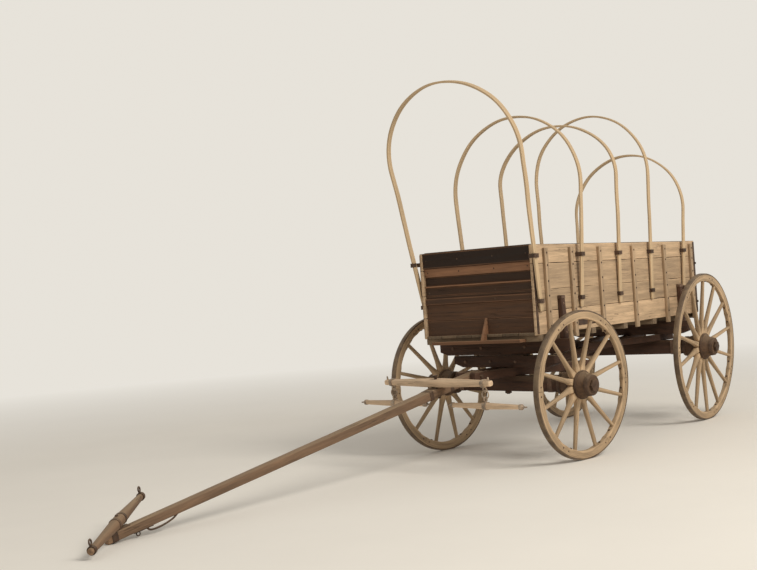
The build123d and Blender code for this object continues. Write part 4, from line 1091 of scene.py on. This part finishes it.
class WAGON_OT_gear_irons(bpy.types.Operator):
    """Axle clips, hound plates, bolster bolts and reach bands on the running gear."""

    bl_idname = "wagon.gear_irons"
    bl_label = "Gear irons"

    def execute(self, context):
        thick, radius = sizes().strap_thick, sizes().bolt_radius
        metal = iron("dull_iron", scaled(colours().iron, 1.8), 0.35)
        self.front_irons(thick, radius, metal)
        self.rear_irons(thick, radius, metal)
        return {"FINISHED"}

    def clip(self, shape, axes, out, height, half_depth, thick):
        """A band round an axle, some way out and with its middle at a height."""
        band(shape, Axes(axes.at(0, out, height), axes.y, UP), HALF_AXLE, half_depth, 12.0,
             0.042, thick)

    def front_irons(self, thick, radius, metal):
        """Axle clips, plates on the hounds' jaws, and bolts through sand board and sway bar."""
        clip_out, jaw_out = 0.455, 0.075
        board_top, board_bolt_z = 0.7825, 0.737
        shape = Shape()
        for side in (-1, 1):
            self.clip(shape, GEAR, side * clip_out, 0.565, 0.0605, thick)
            heads(shape, GEAR.at(HALF_AXLE + thick, side * clip_out, [0.535, 0.595]), GEAR.x,
                  radius * 0.7, 0.004, 8)
            bar(shape, GEAR.shifted(0.30, side * jaw_out, HOUND_TOP + thick / 2),
                [(0.0, 0.040, thick, 9.0), (0.185, 0.044, thick, 9.0)], 3, 16, steps=6)
            heads(shape, GEAR.at([0.33, 0.39, 0.45], side * jaw_out, HOUND_TOP + thick), UP,
                  radius * 0.8, 0.005)
            heads(shape, GEAR.at([-0.01, 0.01], side * 0.30, board_top), UP, radius, 0.004)
            heads(shape, GEAR.at(-0.560, side * 0.325, HOUND_TOP), UP, radius, 0.005)
            heads(shape, GEAR.at(HALF_AXLE, [side * 0.13, side * 0.40], board_bolt_z), GEAR.x,
                  0.013, 0.008)
        shape.made("front_gear_irons", "front_gear", metal)

    def rear_irons(self, thick, radius, metal):
        """Axle clips, bolts through bolsters and stakes, stake bands and two reach bands."""
        stake_foot, stake_height, stake_low, stake_high = 0.906, 0.330, 0.046, 0.030
        shape = Shape()
        for side in (-1, 1):
            self.clip(shape, REAR, side * 0.440, 0.663, 0.0635, thick)
            for axes, sign, z in ((ROOT, 1, 0.850), (REAR, -1, 0.845)):
                heads(shape, axes.at(sign * HALF_AXLE, [side * 0.20, side * 0.47], z),
                      sign * ROOT.x, 0.013, 0.008)
            for axes in (ROOT, REAR):
                for z in (0.95, 1.06, 1.17):
                    share = (z - stake_foot) / stake_height
                    out = HALF_BOX + 0.001 + stake_low + share * (stake_high - stake_low)
                    heads(shape, axes.at(0, side * out, z), side * ROOT.y, radius * 0.9, 0.005)
                post = Axes(axes.at(0, side * (HALF_BOX + 0.0185), 1.222), UP, ROOT.x)
                band(shape, post, 0.0165, 0.0295, 12.0, 0.022, thick * 0.75)
        band(shape, REAR.shifted(0.930, 0, REACH_Z), 0.098, 0.0295, 12.0, 0.040, thick)
        band(shape, ROOT.shifted(-2.488, 0, REACH_Z), 0.0445, 0.029, 12.0, 0.022, thick)
        shape.made("rear_gear_irons", "wagon", metal)


class WAGON_OT_tongue_pole(bpy.types.Operator):
    """The tongue: a shaved pole, square at its root and rounder at its tip, with its plates."""

    bl_idname = "wagon.tongue_pole"
    bl_label = "Tongue"

    def execute(self, context):
        shape = Shape()
        # Along the pole from its lift pin, width, depth, roundness
        bar(shape, TONGUE, [(-0.060, 0.088, 0.066, 9.0), (0.465, 0.088, 0.066, 9.0),
                            (1.2, 0.0807, 0.0639, 6.0), (3.290, 0.060, 0.058, 5.0)], 2, 28,
            0.010, 90)
        # The pole takes the tongue colour with its painted shade.
        pole = wood("pole_wood", colours().tongue, contrast=0.85, dust=0.55)
        shape.made("tongue_pole", "tongue", pole, ["tongue"], "tongue_wood")

        thick = sizes().strap_thick
        irons = Shape()
        for x in (0.275, 0.500):
            band(irons, TONGUE.shifted(x), 0.0443, 0.0333, 10.0, 0.036, thick * 0.8)
        band(irons, TONGUE.shifted(3.240), 0.0306, 0.0294, 5.0, 0.040, thick * 0.7)
        for y in (-0.024, 0.024):
            heads(irons, TONGUE.at([0.335, 0.435], y, 0.037), TONGUE.z,
                  sizes().bolt_radius * 0.8, 0.004)
        # A strap under the tip, with the curved brace and the small ring that hang from it
        bar(irons, TONGUE.shifted(3.000, 0, -0.0312), [(-0.030, 0.040, 0.006, 9.0),
                                                       (0.110, 0.040, 0.006, 9.0)], 9, 16,
            steps=6)
        rod(irons, TONGUE.at([2.780, 2.830, 2.910, 2.985, 3.015], 0.0,
                             [-0.029, -0.050, -0.061, -0.056, -0.030]), 0.006)
        ring = Axes(TONGUE.at(3.075, 0, -0.0470), TONGUE.x, TONGUE.y)
        hoop(irons, ring, 0.0125, 0.007, 28, 12)
        irons.made("tongue_irons", "tongue")
        return {"FINISHED"}


def singletree_axes(name):
    """Axes along a singletree, under its hook's eye on the doubletree."""
    return Axes(place(f"singletree_{name}_swing") - UP * EYE_DROP, GEAR.y, UP)


class WAGON_OT_draught_bars(bpy.types.Operator):
    """The doubletree and two singletrees: thick in the middle, shaved to round ends."""

    bl_idname = "wagon.draught_bars"
    bl_label = "Doubletree and singletrees"

    def execute(self, context):
        pale = wood("bare_bar", colours().bare, contrast=0.6, dust=0.3, edge=1.25, checks=0.8)
        shape = Shape()
        # Along the bar from its middle, width, depth, roundness
        bar(shape, EVENER, mirrored([(0.060, 0.092, 0.056, 4.0), (0.540, 0.050, 0.040, 3.0)]),
            4, 28, 0.012, 60)
        shape.made("doubletree_bar", "doubletree", pale, ["doubletree"], "pale_wood")
        for name in ("left", "right"):
            shape = Shape()
            bar(shape, singletree_axes(name),
                mirrored([(0.030, 0.052, 0.046, 3.0), (0.330, 0.034, 0.032, 2.6)]), 5, 24, 0.014)
            shape.made(f"singletree_bar_{name}", f"singletree_{name}", pale,
                       [f"singletree_{name}"], "pale_wood")
        return {"FINISHED"}


class WAGON_OT_draught_irons(bpy.types.Operator):
    """Hook straps and eyes, rings, and the trace eyes at the singletrees' ends."""

    bl_idname = "wagon.draught_irons"
    bl_label = "Draught irons"

    def execute(self, context):
        metal = iron("rubbed_iron", colours().rubbed, 0.35, grit=0.5)
        hooks = Shape()
        for side in (-1, 1):
            spot = EVENER.shifted(side * HOOK_OUT)
            band(hooks, spot, 0.0283, 0.0218, 3.2, 0.030, 0.006)
            eye = Axes(spot.at(0, 0, -0.0464), EVENER.z, EVENER.y)
            hoop(hooks, eye, 0.017, 0.010, 32, side + 2)
            heads(hooks, EVENER.at(side * 0.520, 0, 0.0203), EVENER.z, 0.007, 0.028)
        hooks.made("hook_eyes", "doubletree", metal, ["doubletree_hooks"])
        for name in ("left", "right"):
            axes = singletree_axes(name)
            irons = Shape()
            band(irons, axes, 0.0262, 0.0232, 3.0, 0.034, 0.006)
            hoop(irons, Axes(axes.at(0, 0, 0.048), UP, GEAR.y), 0.017, 0.010, 32, 4)
            hoop(irons, Axes(axes.at(0, 0, 0.083), UP, GEAR.x), 0.031, 0.010, 40, 5)
            for side in (-1, 1):
                band(irons, axes.shifted(side * 0.326), 0.0172, 0.0162, 2.6, 0.020, 0.004)
                plate = Axes(axes.at(side * 0.336, 0, 0), side * axes.x, UP)
                bar(irons, plate, [(-0.004, 0.040, 0.038, 3.0), (0.006, 0.034, 0.030, 2.6),
                                   (0.012, 0.026, 0.012, 2.4), (0.018, 0.020, 0.010, 2.4)],
                    1, 20, steps=8)
                hoop(irons, axes.shifted(side * 0.360), 0.0142, 0.0085, 28, 6)
            irons.made(f"singletree_forgings_{name}", f"singletree_{name}", metal,
                       [f"singletree_irons_{name}"])
        return {"FINISHED"}


class WAGON_OT_neck_yoke(bpy.types.Operator):
    """The neck yoke: a spindle-shaped bar with end rings and a middle band."""

    bl_idname = "wagon.neck_yoke"
    bl_label = "Neck yoke"

    def execute(self, context):
        along = TONGUE.x * cos(YOKE_TURN) + TONGUE.y * sin(YOKE_TURN)
        axes = Axes(TONGUE.at(YOKE_AHEAD, 0, YOKE_ABOVE), along, TONGUE.z)
        shape = Shape()
        bar(shape, axes, mirrored([(0.045, 0.068, 0.068, 2.3), (0.44, 0.041, 0.041, 2.1),
                                   (0.4825, 0.038, 0.038, 2.1)]), 6, 24, 0.012, 64)
        # The yoke takes the tongue colour with its painted shade.
        yoke = wood("yoke_wood", colours().tongue, contrast=0.8, dust=0.5)
        shape.made("neck_yoke_bar", "neck_yoke", yoke, ["neck_yoke"], "tongue_wood")

        irons = Shape()
        for side in (-1, 1):
            spot = axes.shifted(side * 0.4525)
            band(irons, spot, 0.0212, 0.0212, 2.1, 0.026, 0.0055)
            eye = Axes(spot.at(0, 0, 0.0455), axes.x, axes.y)
            hoop(irons, eye, 0.017, 0.010, 32, side + 9)
        for side in (-1, 1):
            band(irons, axes.shifted(side * 0.052), 0.0338, 0.0338, 2.3, 0.022, 0.003)
        irons.made("neck_yoke_forgings", "neck_yoke", nodes=["neck_yoke_irons"])
        return {"FINISHED"}


class WAGON_OT_frame_finish(bpy.types.Operator):
    """Softened edges and wood or iron on every frame piece that is shown as it is."""

    bl_idname = "wagon.frame_finish"
    bl_label = "Timbers and irons of the frame"

    def execute(self, context):
        # The gear colour, with its painted shade, goes to the beams, stakes, reach, hounds and
        # front timbers.
        gear, sides, bevel = colours().gear, colours().sides, sizes().frame_bevel
        timbers = (
            ("sill_wood", scaled(sides, 0.4), ROOT.y, ["floor_sills"]),
            ("cleat_wood", scaled(sides, 0.85), UP, ["side_cleats", "end_gate_guides"]),
            ("beam_wood", gear, ROOT.y, ["front_bolster", "rear_axle", "rear_bolster"]),
            ("stake_wood", scaled(gear, 1.2), UP, ["bolster_stakes"]),
            ("reach_wood", scaled(gear, 1.1), ROOT.x, ["reach", "rear_hounds"]),
            ("front_beam_wood", gear, GEAR.y, ["front_axle", "sand_board", "sway_bar"]),
            ("hound_wood", scaled(gear, 1.2), GEAR.x, ["front_hounds"]),
        )
        for name, colour, along, nodes in timbers:
            for node in nodes:
                self.dress(node, wood(name, colour, along, contrast=0.85, dust=0.5), bevel)
        for node in ("king_bolt", "rub_plate_lower", "tongue_pin", "doubletree_pin", "yoke_pin",
                     "bow_staples"):
            self.dress(node, iron("forged_iron", colours().iron), bevel / 3)
        for node in ("rear_arms", "front_arms"):
            self.dress(node, iron("greased_iron", colours().iron, 0.55), bevel / 3)
        return {"FINISHED"}

    def dress(self, node, material, bevel):
        """Weld the node's loose triangles, round its edges and give it its material."""
        piece = frame["nodes"][node]
        piece.data.materials.clear()
        piece.data.materials.append(material)
        piece.data.polygons.foreach_set("use_smooth", np.ones(len(piece.data.polygons), bool))
        weld = piece.modifiers.new("weld", "WELD")
        weld.merge_threshold = 0.0001
        soft = piece.modifiers.new("soft_edges", "BEVEL")
        soft.width = bevel
        soft.segments = 2
        soft.limit_method = "ANGLE"
        soft.angle_limit = radians(30)
        soft.harden_normals = True


def stood(name, data, spot, directions):
    """An object at a spot, its x, y and z turned to three directions."""
    thing = bpy.data.objects.new(name, data)
    turn = np.stack(directions, -1).tolist()
    thing.matrix_world = Matrix.Translation(spot) @ Matrix(turn).to_4x4()
    bpy.context.scene.collection.objects.link(thing)
    return thing


class WAGON_OT_stage(bpy.types.Operator):
    """A pale floor and background, one large soft lamp, a fill and the camera."""

    bl_idname = "wagon.stage"
    bl_label = "Stage"

    def execute(self, context):
        stage = context.scene.wagon_stage
        floor = self.lay_ground(stage)
        self.light_room(stage)
        lamp = self.hang_lamp(stage)
        camera = self.set_camera(stage)
        context.scene.camera = camera
        context.scene.view_settings.view_transform = "Standard"
        return {"FINISHED"}

    def lay_ground(self, stage):
        """A flat sheet of square cells, a little mottled."""
        line = np.linspace(-GROUND_HALF, GROUND_HALF, GROUND_CELLS + 1)
        row, cell = len(line), np.arange(GROUND_CELLS)
        mesh = bpy.data.meshes.new("floor_sheet")
        points = together(line[None, :], line[:, None], -GROUND_DROP).reshape(-1, 3)
        i = cell[:, None] * row + cell
        faces = np.stack((i, i + 1, i + row + 1, i + row), -1).reshape(-1, 4)
        mesh.from_pydata(points.tolist(), [], faces.tolist())
        floor = bpy.data.objects.new("floor_sheet", mesh)
        bpy.context.scene.collection.objects.link(floor)
        finish = Finish("pale_floor")
        where = finish.here()
        mottle = finish.noise(where, 0.8, 5.0, 0.6)
        tone = finish.blend(finish.ramp(mottle, 0.3, 0.7), scaled(stage.floor, 0.985),
                            scaled(stage.floor, 1.015))
        finish.done(tone, 0.9, mottle, 0.0005)
        # Far from the wagon the floor turns into the background
        away = finish.node("ShaderNodeVectorMath", {0: where}, operation="LENGTH").outputs["Value"]
        glow = finish.node("ShaderNodeEmission", {"Color": scaled(stage.back, 1.0)})
        fade = finish.node("ShaderNodeMixShader", {
            0: finish.ramp(away, FADE_FROM, FADE_TO), 1: finish.shader.outputs[0],
            2: glow.outputs[0]})
        finish.put(finish.surface, fade.outputs[0])
        mesh.materials.append(finish.material)
        return floor

    def light_room(self, stage):
        """Soft light from all round, and the plain background where the camera looks at it."""
        world = bpy.data.worlds.new("soft_room")
        bpy.context.scene.world = world
        room = Nodes(world)
        fill, back = (room.node("ShaderNodeBackground", {"Color": colour, "Strength": strength})
                      for colour, strength in (((1.0, 0.965, 0.91, 1.0), stage.fill),
                                               (scaled(stage.back, 1.0), 1.0)))
        rays = room.node("ShaderNodeLightPath").outputs
        seen = room.maths("MAXIMUM", rays["Is Camera Ray"], rays["Is Glossy Ray"])
        seen = room.maths("MAXIMUM", seen, rays["Is Transmission Ray"])
        mix = room.node("ShaderNodeMixShader", {0: seen, 1: fill.outputs[0], 2: back.outputs[0]})
        room.node("ShaderNodeOutputWorld", {"Surface": mix.outputs[0]})

    def hang_lamp(self, stage):
        """A large soft disk that faces the wagon."""
        lamp_data = bpy.data.lights.new("soft_lamp", "AREA")
        lamp_data.shape = "DISK"
        lamp_data.size = LAMP_WIDTH
        lamp_data.energy = stage.key
        lamp_data.color = (1.0, 0.96, 0.89)
        out = unit(LAMP_SPOT - LAMP_TARGET)
        side = unit(np.cross(UP, out))
        return stood("soft_lamp", lamp_data, LAMP_SPOT, (side, np.cross(out, side), out))

    def set_camera(self, stage):
        """The camera, turned by its yaw and pitch and then rolled round its line of sight."""
        camera_data = bpy.data.cameras.new("camera")
        camera_data.lens = stage.lens
        camera_data.sensor_width = 36.0
        yaw, pitch, roll = CAMERA_YAW, CAMERA_PITCH, CAMERA_ROLL
        look = np.array((cos(yaw) * cos(pitch), sin(yaw) * cos(pitch), sin(pitch)))
        right = np.array((sin(yaw), -cos(yaw), 0.0))
        over = np.cross(right, look)
        return stood("camera", camera_data, CAMERA_SPOT,
                     (right * cos(roll) + over * sin(roll),
                      over * cos(roll) - right * sin(roll), -look))


class WAGON_PT_panel(bpy.types.Panel):
    """Lists the wagon's pieces, sizes and colours in the sidebar."""

    bl_idname = "WAGON_PT_panel"
    bl_label = "Covered Wagon"
    bl_space_type = "VIEW_3D"
    bl_region_type = "UI"
    bl_category = "Wagon"

    def draw(self, context):
        layout = self.layout
        for operator in OPERATORS:
            layout.operator(operator.bl_idname)
        for group in (context.scene.wagon_sizes, context.scene.wagon_colours,
                      context.scene.wagon_stage):
            box = layout.box()
            for key in type(group).__annotations__:
                box.prop(group, key)


GROUPS = {"wagon_sizes": WagonSizes, "wagon_colours": WagonColours, "wagon_stage": WagonStage}
OPERATORS = (WAGON_OT_bows, WAGON_OT_wheels, WAGON_OT_box_boards, WAGON_OT_box_irons,
             WAGON_OT_gear_irons, WAGON_OT_tongue_pole, WAGON_OT_draught_bars,
             WAGON_OT_draught_irons, WAGON_OT_neck_yoke, WAGON_OT_frame_finish, WAGON_OT_stage)


def register():
    """Add the classes and the scene's three property groups."""
    for cls in (*GROUPS.values(), *OPERATORS, WAGON_PT_panel):
        bpy.utils.register_class(cls)
    for name, group in GROUPS.items():
        setattr(bpy.types.Scene, name, PointerProperty(type=group))


def unregister():
    """Take them away again."""
    for name in GROUPS:
        delattr(bpy.types.Scene, name)
    for cls in reversed((*GROUPS.values(), *OPERATORS, WAGON_PT_panel)):
        bpy.utils.unregister_class(cls)


def main():
    """Build every piece and the stage."""
    register()
    bpy.ops.wagon.bows()
    bpy.ops.wagon.wheels()
    bpy.ops.wagon.box_boards()
    bpy.ops.wagon.box_irons()
    bpy.ops.wagon.gear_irons()
    bpy.ops.wagon.tongue_pole()
    bpy.ops.wagon.draught_bars()
    bpy.ops.wagon.draught_irons()
    bpy.ops.wagon.neck_yoke()
    bpy.ops.wagon.frame_finish()
    bpy.ops.wagon.stage()


if __name__ == "__main__":
    main()
